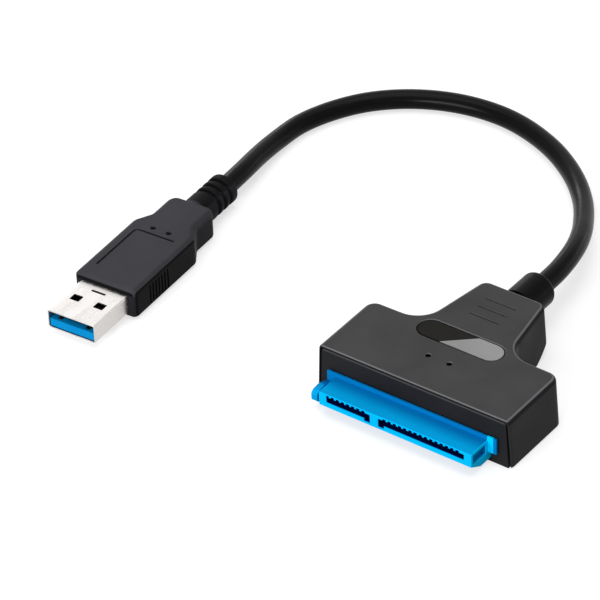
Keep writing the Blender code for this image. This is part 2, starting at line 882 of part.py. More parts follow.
def make_lights(parent, lamp, guide):
    """Two lamps on the board, each with a light guide that ends in its hole in the top."""
    for name, side in (("access", -1), ("power", 1)):
        centre = (side * light_spacing / 2, light_from_front)
        rounded_box(f"{name}_led", led_size, centre, mount_height, parent, lamp, edge=led_edge)
        head_top = roof - seat_gap
        upright(f"{name}_light_guide", [
            (mount_height + led_size[2] + seat_gap, light_guide_diameter / 2),
            (head_top - light_guide_head_height, light_guide_diameter / 2),
            (head_top - light_guide_head_height, light_guide_head / 2),
            (head_top, light_guide_head / 2),
            (head_top, light_guide_diameter / 2),
            (housing_height - light_guide_below_top, light_guide_diameter / 2),
        ], centre, parent, guide, sides=12)


def make_parts_on_board(parent, materials):
    side = bridge_chip_side
    rounded_box("bridge_chip", (side, side, bridge_chip_height), on_board(bridge_chip_place), mount_height,
                parent, materials["chip"])
    make_leaded_chip("flash_chip", flash_chip_size, on_board(flash_chip_place), parent, materials["chip"])
    rounded_box("crystal", crystal_size, on_board(crystal_place), mount_height, parent, materials["can"],
                edge=crystal_edge)
    rounded_box("regulator", regulator_size, on_board(regulator_place), mount_height, parent,
                materials["chip"])
    make_inductor(parent, materials["core"])
    make_lights(parent, materials["lamp"], materials["guide"])


# The cable and its collar


def make_collar(parent, material):
    """The moulded collar: a plain barrel behind the housing, a waist in its bore and a flange inside."""
    start = housing_depth + draft_at(collar_axis_height - collar_diameter / 2) + seat_gap
    end = housing_depth + collar_length
    inside = rear_wall - seat_gap
    radius = collar_diameter / 2
    profile = [
        (inside - collar_flange_length, collar_flange / 2),
        (inside, collar_flange / 2),
        (inside, collar_waist / 2),
        (start, collar_waist / 2),
        (start, radius),
    ]
    for step in range(5):
        angle = math.radians(22.5 * step)
        profile.append((end - collar_edge + collar_edge * math.sin(angle),
                        radius - collar_edge + collar_edge * math.cos(angle)))
    collar = turned_y("cable_collar", profile, (0.0, collar_axis_height), parent, material)
    smooth_round(collar)


def make_cores(parent, materials):
    """The insulated cores that leave the cable inside the neck and come down onto the board's tail."""
    start = rear_wall - seat_gap - collar_flange_length - seat_gap
    rest = mount_height + core_diameter / 2
    names = ("ground", "supply", "data_plus", "data_minus", "fast_out_pair", "fast_in_pair")
    for index, name in enumerate(names):
        place = index - (len(names) - 1) / 2
        points = []
        for step in range(9):
            share = step / 8
            ease = share * share * (3 - 2 * share)
            row = 1 if index % 2 else -1
            x = place * (core_bunch_spacing * (1 - ease) + core_spacing * ease)
            z = (collar_axis_height + row * core_bunch_rise) * (1 - ease) + rest * ease
            points.append((x, start - core_run * share, z))
        make_tube(f"core_{name}", points, core_diameter, parent, materials[name], sides_step=1)


def make_cable(material):
    route = np.array(cable_route) * mm
    make_tube("cable", smooth_curve(route, cable_step), cable_diameter, None, material)


# The plug


def moulding_corners():
    side = moulding_width / 2
    neck = moulding_neck_width / 2
    return [
        (-side, 0.0, moulding_front_radius),
        (side, 0.0, moulding_front_radius),
        (side, moulding_shoulder, moulding_shoulder_radius),
        (neck, moulding_neck_start, moulding_shoulder_radius),
        (neck, moulding_length, moulding_rear_radius),
        (-neck, moulding_length, moulding_rear_radius),
        (-neck, moulding_neck_start, moulding_shoulder_radius),
        (-side, moulding_shoulder, moulding_shoulder_radius),
    ]


def make_moulding(parent, material):
    half = moulding_height / 2
    levels = [
        (-half, -moulding_edge),
        (-half + moulding_edge_height, 0.0),
        (half - moulding_edge_height, 0.0),
        (half, -moulding_edge),
    ]
    loops = [at_height(rounded_outline(moulding_corners(), offset), z) for z, offset in levels]
    moulding = loft("plug_moulding", loops, parent, material)
    combine(moulding, make_boot(parent), "UNION")
    pocket = boxes("plug_pocket", [(
        around(0, plug_width + 2 * seat_gap),
        (-wall, pocket_depth),
        around(0, plug_height + 2 * seat_gap),
    )], parent)
    combine(moulding, pocket, "DIFFERENCE")
    cut_plug_marks(moulding, parent)
    smooth_round(moulding)


def make_boot(parent):
    """The round boot behind the moulding, with its rings and its rounded end."""
    radius = boot_diameter / 2
    end = moulding_length + boot_length
    profile = [(pocket_depth + wall, radius)]
    for index in reversed(range(boot_grooves)):
        middle = end - boot_last_groove - index * boot_groove_pitch
        half = boot_groove_width / 2
        profile += [
            (middle - half, radius),
            (middle - half, radius - boot_groove_depth),
            (middle + half, radius - boot_groove_depth),
            (middle + half, radius),
        ]
    for step in range(4):
        angle = math.radians(30 * step)
        profile.append((end - boot_end_radius + boot_end_radius * math.sin(angle),
                        radius - boot_end_radius + boot_end_radius * math.cos(angle)))
    return turned_y("plug_boot", profile, (0.0, 0.0), parent)


def cut_plug_marks(moulding, parent):
    """The corner line and the two dots on the moulding's top, and the grip lines on its sides."""
    half = moulding_height / 2
    left = -moulding_width / 2 + mark_inset
    right = moulding_width / 2 - mark_right_inset
    heights = (half - mark_depth, half + wall)
    corner = boxes("mark_along", [(around(left, mark_width), (mark_start, mark_end), heights)], parent)
    across = boxes("mark_across", [((left - mark_width / 2, right), around(mark_end, mark_width),
                                    (half - mark_depth, half + wall / 2))], parent)
    combine(corner, across, "UNION")
    combine(moulding, corner, "DIFFERENCE")
    for side in (-1, 1):
        dot = upright("dot", [(half - mark_depth, dot_diameter / 2), (half + wall, dot_diameter / 2)],
                      (side * dot_spacing / 2, dot_place), parent, sides=12)
        combine(moulding, dot, "DIFFERENCE")
    grips = []
    for index in range(grip_count):
        y = grip_start + index * grip_pitch
        for side in (-1, 1):
            face = side * moulding_width / 2
            depth = tuple(sorted((face - side * grip_depth, face + side * wall)))
            grips.append((depth, around(y, grip_width), around(0, grip_height)))
    combine(moulding, boxes("grip_lines", grips, parent), "DIFFERENCE")


def tube_outline(shrink):
    """The metal plug's outline in the XZ plane, moved inwards by shrink."""
    half_x = plug_width / 2
    half_z = plug_height / 2
    corners = [
        (-half_x, -half_z, plug_corner),
        (half_x, -half_z, plug_corner),
        (half_x, half_z, plug_corner),
        (-half_x, half_z, plug_corner),
    ]
    return rounded_outline(corners, -shrink, steps=3)


def make_plug_shell(parent, material):
    """The folded metal tube, open at both ends, with its latch windows and its slit."""
    ends = (-plug_reach, plug_inside_length)
    loops = [[(x, y, z) for x, z in tube_outline(0.0)] for y in ends]
    shell = loft("plug_shell", loops, parent, material)
    hollow = loft("plug_hollow", [[(x, y, z) for x, z in tube_outline(plug_wall)]
                                  for y in (ends[0] - wall, ends[1] + wall)], parent)
    combine(shell, hollow, "DIFFERENCE")
    windows = []
    for side in (-1, 1):
        for face in (-1, 1):
            heights = tuple(sorted((face * plug_half_inside / 2, face * plug_height)))
            windows.append((around(side * window_spacing / 2, window_width),
                            around(-window_place, window_length), heights))
    windows.append((around(0, slit_width), around(-slit_place, slit_length),
                    (plug_half_inside / 2, plug_height)))
    combine(shell, boxes("latch_windows", windows, parent), "DIFFERENCE")


def rear_contact_places():
    return [index * rear_contact_pitch for index in (-2, -1, 0, 1, 2)]


def make_plug_insulator(parent, material):
    """The tongue, which fills the lower part of the metal tube, and the block behind it."""
    half = plug_width / 2 - plug_wall - tongue_side_gap
    front = -plug_reach + tongue_set_back
    profile = [
        (front, tongue_bottom),
        (rear_block_length, tongue_bottom),
        (rear_block_length, plug_half_inside - tongue_side_gap),
        (-rear_block_reach, plug_half_inside - tongue_side_gap),
        (-rear_block_reach, tongue_top),
        (front, tongue_top),
    ]
    tongue = prism_x("plug_insulator", profile, (-half, half), parent, material)
    front_channels = []
    for x, setback in zip(front_contact_places, front_contact_setbacks):
        front_channels.append((
            around(x, front_contact_width + 2 * solder_gap),
            (-plug_reach + setback - solder_gap, rear_block_length + wall),
            (tongue_top - front_channel_depth, tongue_top + rear_channel_rise / 4),
        ))
    combine(tongue, boxes("front_channels", front_channels, parent), "DIFFERENCE")
    rear_channels = []
    for x in rear_contact_places():
        low = tongue_top + rear_channel_rise
        rear_channels.append((around(x, rear_contact_width + 2 * contact_gap),
                              (-rear_block_reach - wall, rear_block_length + wall),
                              (low, low + rear_channel_height)))
    combine(tongue, boxes("rear_channels", rear_channels, parent), "DIFFERENCE")


def make_plug_contacts(parent, material):
    """Four flat contacts near the mouth and five sprung ones behind them, all running back as tails."""
    level = tongue_top - front_channel_depth / 2
    for number, (x, setback) in enumerate(zip(front_contact_places, front_contact_setbacks), start=1):
        span = (-plug_reach + setback, plug_tail_end)
        blade = (around(x, front_contact_width), span, around(level, front_contact_thickness))
        boxes(f"front_contact_{number}", [blade], parent, material)
    level = tongue_top + rear_channel_rise + rear_channel_height / 2
    path = [
        (-rear_contact_reach, level),
        (-rear_contact_reach + rear_contact_bow, level + rear_contact_rise * 0.7),
        (-rear_contact_reach + 2 * rear_contact_bow, level + rear_contact_rise),
        (-rear_contact_reach + 3 * rear_contact_bow, level + rear_contact_rise * 0.7),
        (-rear_contact_reach + 4 * rear_contact_bow, level),
        (plug_tail_end, level),
    ]
    outline = ribbon(path, rear_contact_thickness)
    for number, x in enumerate(rear_contact_places(), start=1):
        prism_x(f"rear_contact_{number}", outline, around(x, rear_contact_width), parent, material)


def make_inner_mould(parent, material):
    """The plain block that holds the cores behind the metal plug, inside the moulding."""
    span = (inner_mould_start, inner_mould_start + inner_mould_length)
    boxes("plug_inner_mould", [(around(0, plug_width), span, around(0, plug_height))], parent, material)


def clear_scene():
    for thing in list(bpy.data.objects):
        bpy.data.objects.remove(thing)


def build():
    clear_scene()
    housing = make_material("housing_plastic", srgb(58, 58, 59), 0.55)
    moulding = make_material("plug_plastic", srgb(50, 49, 53), 0.5)
    jacket = make_material("cable_jacket", srgb(38, 38, 38), 0.3)
    blue = make_material("connector_blue", srgb(0, 128, 205), 0.4)
    steel = make_material("plug_metal", srgb(225, 220, 219), 0.3, 1.0)
    gold = make_material("contact_gold", srgb(222, 182, 96), 0.3, 1.0)
    laminate = make_material("board_green", srgb(20, 84, 52), 0.5)
    inner = make_material("inner_mould", srgb(205, 202, 190), 0.6)
    badge = make_material("badge_inlay", srgb(120, 120, 120), 0.45)
    on_board = {
        "chip": make_material("chip_black", srgb(28, 28, 30), 0.5),
        "can": make_material("crystal_can", srgb(200, 200, 198), 0.3, 1.0),
        "core": make_material("inductor_core", srgb(60, 58, 56), 0.7),
        "lamp": make_material("led_lens", srgb(230, 228, 210), 0.3),
        "guide": make_material("light_guide", srgb(70, 72, 74), 0.2),
    }
    core_colours = {
        "ground": (24, 24, 24),
        "supply": (190, 32, 30),
        "data_plus": (34, 130, 60),
        "data_minus": (232, 232, 228),
        "fast_out_pair": (36, 70, 170),
        "fast_in_pair": (222, 150, 32),
    }
    cores = {name: make_material(f"core_{name}", srgb(*colour), 0.5) for name, colour in core_colours.items()}

    socket_end = make_empty("socket_end", (0.0, front_y, 0.0))
    make_upper_shell(socket_end, housing)
    make_lower_shell(socket_end, housing)
    make_front_frame(socket_end, housing)
    inlay_top = housing_height - badge_depth + seat_gap + badge_thickness
    stadium("badge_inlay", badge_length / 2 - seat_gap, badge_width / 2 - seat_gap,
            inlay_top - badge_thickness, inlay_top, socket_end, badge)
    make_socket_insulator(socket_end, blue)
    make_contacts(socket_end, gold)
    make_board(socket_end, laminate)
    make_parts_on_board(socket_end, on_board)
    make_collar(socket_end, jacket)
    make_cores(socket_end, cores)

    make_cable(jacket)

    plug_end = make_empty("plug_end", (*plug_place, moulding_height / 2), plug_turn)
    make_moulding(plug_end, moulding)
    make_plug_shell(plug_end, steel)
    make_plug_insulator(plug_end, blue)
    make_plug_contacts(plug_end, gold)
    make_inner_mould(plug_end, inner)


build()
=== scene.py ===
# %% [markdown]
# A drive adapter lies on a white table: a wide dark housing with a blue drive connector at its front, a
# free black cable that swings round in an arc, and a flat data plug with a bright metal mouth. The packed
# model gives every piece its place. This lesson dresses it: camera and cable first, then light, then the
# finishes, then each visible piece as a surface worked out from a few sizes.

import math

import bpy
import numpy as np
from mathutils import Matrix, Vector


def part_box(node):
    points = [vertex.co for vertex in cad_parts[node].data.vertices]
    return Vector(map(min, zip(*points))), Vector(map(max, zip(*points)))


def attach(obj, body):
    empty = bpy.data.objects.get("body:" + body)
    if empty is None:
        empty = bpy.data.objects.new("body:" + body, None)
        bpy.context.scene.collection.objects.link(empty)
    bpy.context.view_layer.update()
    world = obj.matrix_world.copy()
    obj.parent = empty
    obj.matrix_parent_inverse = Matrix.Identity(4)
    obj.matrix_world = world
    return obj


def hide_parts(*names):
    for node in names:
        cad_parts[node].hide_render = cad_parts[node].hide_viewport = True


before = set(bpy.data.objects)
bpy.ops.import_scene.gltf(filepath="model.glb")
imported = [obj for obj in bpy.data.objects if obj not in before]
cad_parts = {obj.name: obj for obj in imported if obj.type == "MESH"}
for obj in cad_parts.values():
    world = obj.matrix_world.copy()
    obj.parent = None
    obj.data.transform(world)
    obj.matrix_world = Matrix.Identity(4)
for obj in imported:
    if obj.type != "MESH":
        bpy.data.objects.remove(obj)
scene = bpy.context.scene
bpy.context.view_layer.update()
mm = 0.001
print("nodes:", len(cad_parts))

# %% [markdown]
# A product photograph like this one is taken from far away with a long lens, so that parallel edges stay
# nearly parallel. The camera stands 900 mm off and looks down at 36 degrees. Its place is worked out from
# the spot on the table in the middle of the picture, so that turning it keeps that spot centred.

# %% Camera
camera_azimuth = math.radians(37.711)
camera_elevation = math.radians(36.432)
camera_roll = math.radians(-2.503)
camera_distance = 900.0 * mm
camera_target = Vector((-45.068, 2.834, 0.0)) * mm
camera_lens = 256.3

forward = Vector((
    -math.sin(camera_azimuth) * math.cos(camera_elevation),
    math.cos(camera_azimuth) * math.cos(camera_elevation),
    -math.sin(camera_elevation),
))
level_right = forward.cross(Vector((0.0, 0.0, 1.0))).normalized()
level_up = level_right.cross(forward)
right = level_right * math.cos(camera_roll) + level_up * math.sin(camera_roll)
up = right.cross(forward)

camera_data = bpy.data.cameras.new("photo_camera")
camera_data.lens = camera_lens
camera_data.clip_end = 20.0
camera = bpy.data.objects.new("photo_camera", camera_data)
turn = Matrix((right, up, -forward)).transposed().to_4x4()
camera.matrix_world = Matrix.Translation(camera_target - forward * camera_distance) @ turn
scene.collection.objects.link(camera)
scene.camera = camera
print("camera at", np.round(camera.matrix_world.translation, 3).tolist())

# %% [markdown]
# Nearly everything here is one kind of surface: a loop of points carried through several stations. So one
# helper turns a grid of points into a mesh, with whole arrays and no loop over vertices. Another rounds
# the corners of an outline and can move it in or out at the same time, which gives drafts and soft edges.

# %% Surfaces from grids
crease_angle = math.radians(30.0)


def shade(mesh):
    """Smooth shading, with a sharp edge where two faces meet at more than the crease angle."""
    mesh.shade_smooth()
    mesh.set_sharp_from_angle(angle=crease_angle)


def make_piece(name, points, faces):
    """A mesh object at the origin."""
    mesh = bpy.data.meshes.new(name)
    mesh.from_pydata(np.asarray(points, float).reshape(-1, 3).tolist(), [], faces)
    mesh.update()
    shade(mesh)
    piece = bpy.data.objects.new(name, mesh)
    scene.collection.objects.link(piece)
    return piece


def grid_faces(rows, columns, close_rows=False):
    """Quads between neighbouring rows of a grid whose columns run round and meet again."""
    index = np.arange(rows * columns).reshape(rows, columns)
    after = np.roll(index, -1, axis=1)
    if close_rows:
        upper, upper_after = np.roll(index, -1, axis=0), np.roll(after, -1, axis=0)
        quads = np.stack([index, after, upper_after, upper], axis=-1)
    else:
        quads = np.stack([index[:-1], after[:-1], after[1:], index[1:]], axis=-1)
    return quads.reshape(-1, 4).tolist()


def signed_volume(points, faces):
    """Six times the volume inside: the sum over each face's fan of p0 . (p1 x p2)."""
    total = 0.0
    for size in sorted({len(face) for face in faces}):
        corners = points[np.array([face for face in faces if len(face) == size])]
        for step in range(1, size - 1):
            fan = np.cross(corners[:, step], corners[:, step + 1])
            total += float((corners[:, 0] * fan).sum())
    return total


def carried(name, grid, ring=False):
    """A closed surface from loops, grid[station, around]: capped at both ends, or joined as a ring."""
    grid = np.asarray(grid, float)
    rows, columns = grid.shape[:2]
    points = grid.reshape(-1, 3)
    faces = grid_faces(rows, columns, close_rows=ring)
    if not ring:
        last = (rows - 1) * columns
        faces += [list(range(columns))[::-1], list(range(last, last + columns))]
    if signed_volume(points, faces) < 0:
        faces = [face[::-1] for face in faces]
    return make_piece(name, points, faces)


def rounded_outline(corners, offset, side_offset=0.0, steps=10):
    """A counterclockwise outline of (a, b, radius) corners, moved outwards and with arcs at its corners.

    Each edge moves along its outward normal, the first by offset and the rest by offset and side_offset.
    Two moved edges cross at the new corner, and an arc touches both at radius * tan(turn / 2) from it.
    """
    corners = np.asarray(corners, float)
    places, radii = corners[:, :2], corners[:, 2]
    along = np.roll(places, -1, axis=0) - places
    along /= np.linalg.norm(along, axis=1)[:, None]
    outward = np.stack([along[:, 1], -along[:, 0]], axis=1)
    moves = np.full(len(corners), offset + side_offset)
    moves[0] = offset
    levels = (outward * places).sum(axis=1) + moves
    before, along_before = np.roll(outward, 1, axis=0), np.roll(along, 1, axis=0)
    crossing = np.linalg.solve(np.stack([before, outward], axis=1),
                               np.stack([np.roll(levels, 1), levels], axis=1)[..., None])[..., 0]
    turned = along_before[:, 0] * along[:, 1] - along_before[:, 1] * along[:, 0]
    turn_angle = np.arctan2(turned, (along_before * along).sum(axis=1))
    side = np.sign(turn_angle)
    bend = np.maximum(radii + side * moves, 0.01 * mm)
    start = crossing - along_before * (bend * np.tan(np.abs(turn_angle) / 2))[:, None]
    centre = start - before * (side * bend)[:, None]
    first = np.arctan2(start[:, 1] - centre[:, 1], start[:, 0] - centre[:, 0])
    angles = first[:, None] + turn_angle[:, None] * np.linspace(0.0, 1.0, steps + 1)
    arcs = np.stack([np.cos(angles), np.sin(angles)], axis=-1) * bend[:, None, None]
    return (centre[:, None, :] + arcs).reshape(-1, 2)


def placed(loop, at, axis):
    """Lays a flat loop across an axis: x takes (y, z) loops, y takes (x, z) loops and z takes (x, y)."""
    order = {"x": (2, 0, 1), "y": (0, 2, 1), "z": (0, 1, 2)}[axis]
    flat = np.column_stack([loop, np.full(len(loop), at)])
    return flat[:, order]


def stacked(corners, rows, axis, steps):
    """An outline's loops across an axis. Each row is a place on the axis and the outline's moves there."""
    return [placed(rounded_outline(corners, *moves, steps=steps), at, axis) for at, *moves in rows]


def soft_ends(span, edge, steps=4):
    """Stations along a span and how far the outline has shrunk there, a quarter round at each end.

    At an angle a the station is edge * (1 - cos a) from the end and the outline lacks edge * (1 - sin a).
    """
    angle = np.linspace(0.0, math.pi / 2, steps + 1)
    inward = edge * (1 - np.cos(angle))
    lack = -edge * (1 - np.sin(angle))
    stations = np.concatenate([span[0] + inward, span[1] - inward[::-1]])
    return stations, np.concatenate([lack, lack[::-1]])


def soft_prism(name, corners, span, axis, edge, steps=8):
    """An outline with rounded corners carried along an axis, its two end edges rounded by edge."""
    return carried(name, stacked(corners, zip(*soft_ends(span, edge)), axis, steps))


def box_corners(a_range, b_range, radius):
    """The four corners of a rectangle, counterclockwise, all with one radius."""
    (a0, a1), (b0, b1) = a_range, b_range
    return [(a0, b0, radius), (a1, b0, radius), (a1, b1, radius), (a0, b1, radius)]


def around(centre, width):
    """The two ends of a width that is centred on a place."""
    return (centre - width / 2, centre + width / 2)


def mirrored(right_half):
    """A symmetric outline from the corners of its right half, which run from its first edge to its last."""
    left_half = [(-x, y, radius) for x, y, radius in reversed(right_half)]
    return [left_half[-1], *right_half, *left_half[:-1]]


def turned(name, profile, centre, axis, sides=96):
    """A profile of (place along the axis, radius) rows swung round a line through centre."""
    angle = np.linspace(0.0, 2 * math.pi, sides, endpoint=False)
    circle = np.stack([np.cos(angle), np.sin(angle)], axis=-1)
    loops = [placed(np.asarray(centre) + circle * radius, at, axis) for at, radius in profile]
    return carried(name, loops)


def quarter_round(end, radius, edge, steps):
    """The last part of a turned profile: a quarter circle from the full radius to the end face."""
    angle = np.linspace(0.0, math.pi / 2, steps + 1)
    return [(end - edge + edge * math.sin(a), radius - edge + edge * math.cos(a)) for a in angle]


def moved(piece, offset, angle=0.0):
    """Turns a piece's mesh about Z and shifts it, leaving the object at the origin."""
    piece.data.transform(Matrix.Translation(offset) @ Matrix.Rotation(angle, 4, "Z"))


print("helpers ready")

# %% [markdown]
# Recesses, slots and bores are cut with exact Booleans. The cutter's mouth is flared a little, so the cut
# edge comes out as a narrow chamfer that catches light, as on a moulded part. The result is stored at once
# and the cutter removed, so the piece is a plain mesh afterwards.

# %% Cutting and joining
def combined(piece, others, operation="DIFFERENCE"):
    """Cuts a piece with others, or joins or crosses it with them. The others are used up."""
    for other in others:
        modifier = piece.modifiers.new("combine", "BOOLEAN")
        modifier.operation = operation
        modifier.solver = "EXACT"
        modifier.object = other
    graph = bpy.context.evaluated_depsgraph_get()
    result = bpy.data.meshes.new_from_object(piece.evaluated_get(graph))
    piece.modifiers.clear()
    old = piece.data
    piece.data = result
    bpy.data.meshes.remove(old)
    for other in others:
        bpy.data.objects.remove(other)
    shade(piece.data)
    return piece


def flared_cutter(corners, surface, depth, axis, flare=0.1 * mm, steps=8, outward=1.0):
    """A cutter that goes depth below a surface. From the flare below it on, it widens at 45 degrees.

    outward is 1 where the surface faces up its axis and -1 where it faces down it.
    """
    beyond = 0.4 * mm
    stations = [(surface - outward * depth, 0.0), (surface - outward * flare, 0.0),
                (surface + outward * beyond, flare + beyond)]
    return carried("cutter", stacked(corners, stations, axis, steps))


def box_cutters(x, y, z):
    """Plain boxes in one mesh. x, y and z hold each box's two ends, or one pair that all boxes share."""
    bounds = np.stack(np.broadcast_arrays(*map(np.atleast_2d, (x, y, z))), axis=-1)
    square = [[0, 0], [1, 0], [1, 1], [0, 1]]
    pick = np.array([[*corner, level] for level in (0, 1) for corner in square])
    points = np.take_along_axis(bounds, pick[None, :, :], axis=1)
    sides = np.array([[0, 3, 2, 1], [4, 5, 6, 7], [0, 1, 5, 4], [1, 2, 6, 5], [2, 3, 7, 6], [3, 0, 4, 7]])
    faces = (sides[None] + 8 * np.arange(len(bounds))[:, None, None]).reshape(-1, 4).tolist()
    return make_piece("cutter", points, faces)


def finish_piece(piece, material, slot, *nodes):
    """Gives a piece its material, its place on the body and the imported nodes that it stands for."""
    piece.data.materials.clear()
    piece.data.materials.append(material)
    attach(piece, "root")
    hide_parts(*nodes)
    weighted = piece.modifiers.new("weighted_normals", "WEIGHTED_NORMAL")
    weighted.keep_sharp = True
    print(piece.name, "faces:", len(piece.data.polygons), "stands for", *nodes)


print("cutters ready")

# %% [markdown]
# The cable is settled early, because its room decides what else fits. It leaves the collar straight, comes
# down to the table, swings round in one loose arc and climbs a little into the plug's boot, about 158 mm
# in all. Its route is a few listed points and a smooth curve through them. The jacket is a circle
# carried along that curve, which keeps its real thickness everywhere.

# %% Cable route
cable_diameter = 4.5 * mm
cable_route = np.array((
    (0.0, 26.8, 7.2), (-0.1, 33.1, 7.25), (-0.8, 38.1, 7.15), (-1.9, 42.4, 6.75),
    (-4.3, 48.4, 5.7), (-8.0, 55.1, 4.25), (-13.2, 62.6, 2.85), (-20.0, 69.6, 2.25),
    (-31.0, 76.6, 2.25), (-46.9, 80.7, 2.25), (-58.7, 79.1, 2.25), (-68.5, 74.3, 2.25),
    (-74.6, 68.8, 2.25), (-79.2, 61.6, 2.25), (-82.1, 53.1, 2.25), (-82.5, 46.1, 2.3),
    (-81.8, 38.2, 2.95), (-80.6, 30.7, 3.6), (-79.93, 23.11, 3.7),
)) * mm


def smooth_curve(route, step):
    """Even points on cubics through the route, whose slopes weigh the neighbouring chords by length."""
    gaps = np.linalg.norm(np.diff(route, axis=0), axis=1)[:, None]
    chords = np.diff(route, axis=0) / gaps
    inner = (chords[:-1] * gaps[1:] + chords[1:] * gaps[:-1]) / (gaps[:-1] + gaps[1:])
    slopes = np.vstack([chords[0], inner, chords[-1]])
    t = np.linspace(0.0, 1.0, 24, endpoint=False)[None, :, None]
    reach = gaps[:, None]
    leave = (1 + 2 * t) * (1 - t) ** 2 * route[:-1, None] + t * (1 - t) ** 2 * reach * slopes[:-1, None]
    arrive = t ** 2 * (3 - 2 * t) * route[1:, None] + t ** 2 * (t - 1) * reach * slopes[1:, None]
    dense = np.vstack([(leave + arrive).reshape(-1, 3), route[-1:]])
    travelled = np.concatenate([[0.0], np.cumsum(np.linalg.norm(np.diff(dense, axis=0), axis=1))])
    places = np.linspace(0.0, travelled[-1], round(travelled[-1] / step) + 1)
    line = np.stack([np.interp(places, travelled, dense[:, axis]) for axis in range(3)], axis=1)
    return line, float(travelled[-1])


cable_line, cable_length = smooth_curve(cable_route, 0.8 * mm)
print("cable length", round(cable_length, 4), "m,", len(cable_line), "stations")

# %% Cable
def tube_grid(line, radius, sides=40):
    """Circles across a line: at each station a sideways and an upward unit vector span the circle."""
    tangent = np.gradient(line, axis=0)
    tangent /= np.linalg.norm(tangent, axis=1)[:, None]
    sideways = np.cross(tangent, (0.0, 0.0, 1.0))
    sideways /= np.linalg.norm(sideways, axis=1)[:, None]
    upward = np.cross(sideways, tangent)
    angle = np.linspace(0.0, 2 * math.pi, sides, endpoint=False)
    ring = np.cos(angle)[None, :, None] * sideways[:, None] + np.sin(angle)[None, :, None] * upward[:, None]
    return line[:, None] + radius * ring


cable = carried("cable_jacket", tube_grid(cable_line, cable_diameter / 2))
print("cable faces:", len(cable.data.polygons))

# %% [markdown]
# The light is a plain white studio: a soft even sky, a large softbox overhead, one behind whose reflection
# lies on the flat tops, two low strips that draw lines on the round cable, and a low box in front for the
# connector's face. Sky and table are white to the camera, in reflections and through glass. Other light
# meets a dimmer sky and a greyer table, so that the dark sides stay dark, and the table keeps the shadow.
#
# Materials and the sky are trees of nodes, and a few small helpers keep them short to read.

# %% Node helpers
def wire(tree, node, inputs):
    """Gives each named input of a node a value of its own or another node's output."""
    for socket, value in inputs.items():
        if isinstance(value, bpy.types.NodeSocket):
            tree.links.new(value, node.inputs[socket])
        else:
            node.inputs[socket].default_value = value
    return node


def add_node(tree, kind, inputs):
    """The outputs of a new shader node of a kind."""
    return wire(tree, tree.nodes.new("ShaderNode" + kind), inputs).outputs


def worked_out(tree, operation, *values):
    """The result of a Math node on numbers or outputs."""
    node = tree.nodes.new("ShaderNodeMath")
    node.operation = operation
    return wire(tree, node, dict(enumerate(values))).outputs["Value"]


def blended(tree, factor, first, second):
    """The colour that lies between two colours, by a factor from 0 to 1."""
    node = tree.nodes.new("ShaderNodeMix")
    node.data_type = "RGBA"
    return wire(tree, node, {"Factor": factor, "A": first, "B": second}).outputs["Result"]


# %% Background rays
def background_rays(tree):
    """1 for a ray from the camera, off a glossy surface or through glass, and 0 for any other ray."""
    seen = add_node(tree, "LightPath", {})
    mask = seen["Is Camera Ray"]
    for ray in ("Is Glossy Ray", "Is Transmission Ray"):
        mask = worked_out(tree, "MAXIMUM", mask, seen[ray])
    return mask


# %% Light
sky_strength = 0.3
world = bpy.data.worlds.new("studio")
world.use_nodes = True
scene.world = world
sky = world.node_tree
strength = add_node(sky, "Mix", {"Factor": background_rays(sky), "A": sky_strength, "B": 1.0})
wire(sky, sky.nodes["Background"], {"Color": (1.0, 1.0, 1.0, 1.0), "Strength": strength["Result"]})


def make_softbox(name, place, size, power):
    """A rectangular lamp that faces the middle of the adapter."""
    data = bpy.data.lights.new(name, "AREA")
    data.shape = "RECTANGLE"
    data.size, data.size_y = size
    data.energy = power
    lamp = bpy.data.objects.new(name, data)
    lamp.location = place
    aim = Vector((-0.04, 0.0, 0.0)) - Vector(place)
    lamp.rotation_euler = aim.to_track_quat("-Z", "Y").to_euler()
    scene.collection.objects.link(lamp)


make_softbox("top_softbox", (-0.1, 0.05, 1.0), (0.9, 0.9), 5.9)
make_softbox("back_softbox", (-0.53, 0.64, 0.59), (0.9, 0.5), 0.65)
make_softbox("left_strip", (-0.77, 0.6, 0.33), (0.25, 0.2), 0.9)
make_softbox("right_strip", (0.42, 0.85, 0.12), (0.9, 0.06), 0.6)
make_softbox("front_softbox", (0.0, -0.9, 0.25), (0.7, 0.15), 8.0)

# %% Table
table_half = 3.0
table_corners = [(x * table_half, y * table_half, 0.0) for x, y in ((-1, -1), (1, -1), (1, 1), (-1, 1))]
table_mesh = bpy.data.meshes.new("table")
table_mesh.from_pydata(table_corners, [], [(0, 1, 2, 3)])
table = bpy.data.objects.new("table", table_mesh)
scene.collection.objects.link(table)

table_seen = (0.5, 0.5, 0.5, 1.0)
table_unseen = (0.25, 0.25, 0.25, 1.0)
table_glow = 0.62
white = bpy.data.materials.new("table_white")
white.use_nodes = True
tree = white.node_tree
shown = background_rays(tree)
wire(tree, tree.nodes["Principled BSDF"], {
    "Base Color": blended(tree, shown, table_unseen, table_seen),
    "Roughness": 0.8,
    "Specular IOR Level": 0.1,
    "Emission Color": (1.0, 1.0, 1.0, 1.0),
    "Emission Strength": worked_out(tree, "MULTIPLY", shown, table_glow),
})
table_mesh.materials.append(white)
print("table ready")

# %% [markdown]
# Moulded plastic is never quite even. Under a lens it has a fine spark-eroded grain that softens the
# reflections, and a slow mottle where the melt flowed. Both come from one shared group, read in the piece's
# own coordinates, so that every finish sets only how fine and how strong they are.

# %% Shared grain group
def colour(red, green, blue):
    """The linear colour of three display values from 0 to 255."""
    share = np.array((red, green, blue)) / 255
    linear = np.where(share <= 0.04045, share / 12.92, ((share + 0.055) / 1.055) ** 2.4)
    return (*map(float, linear), 1.0)


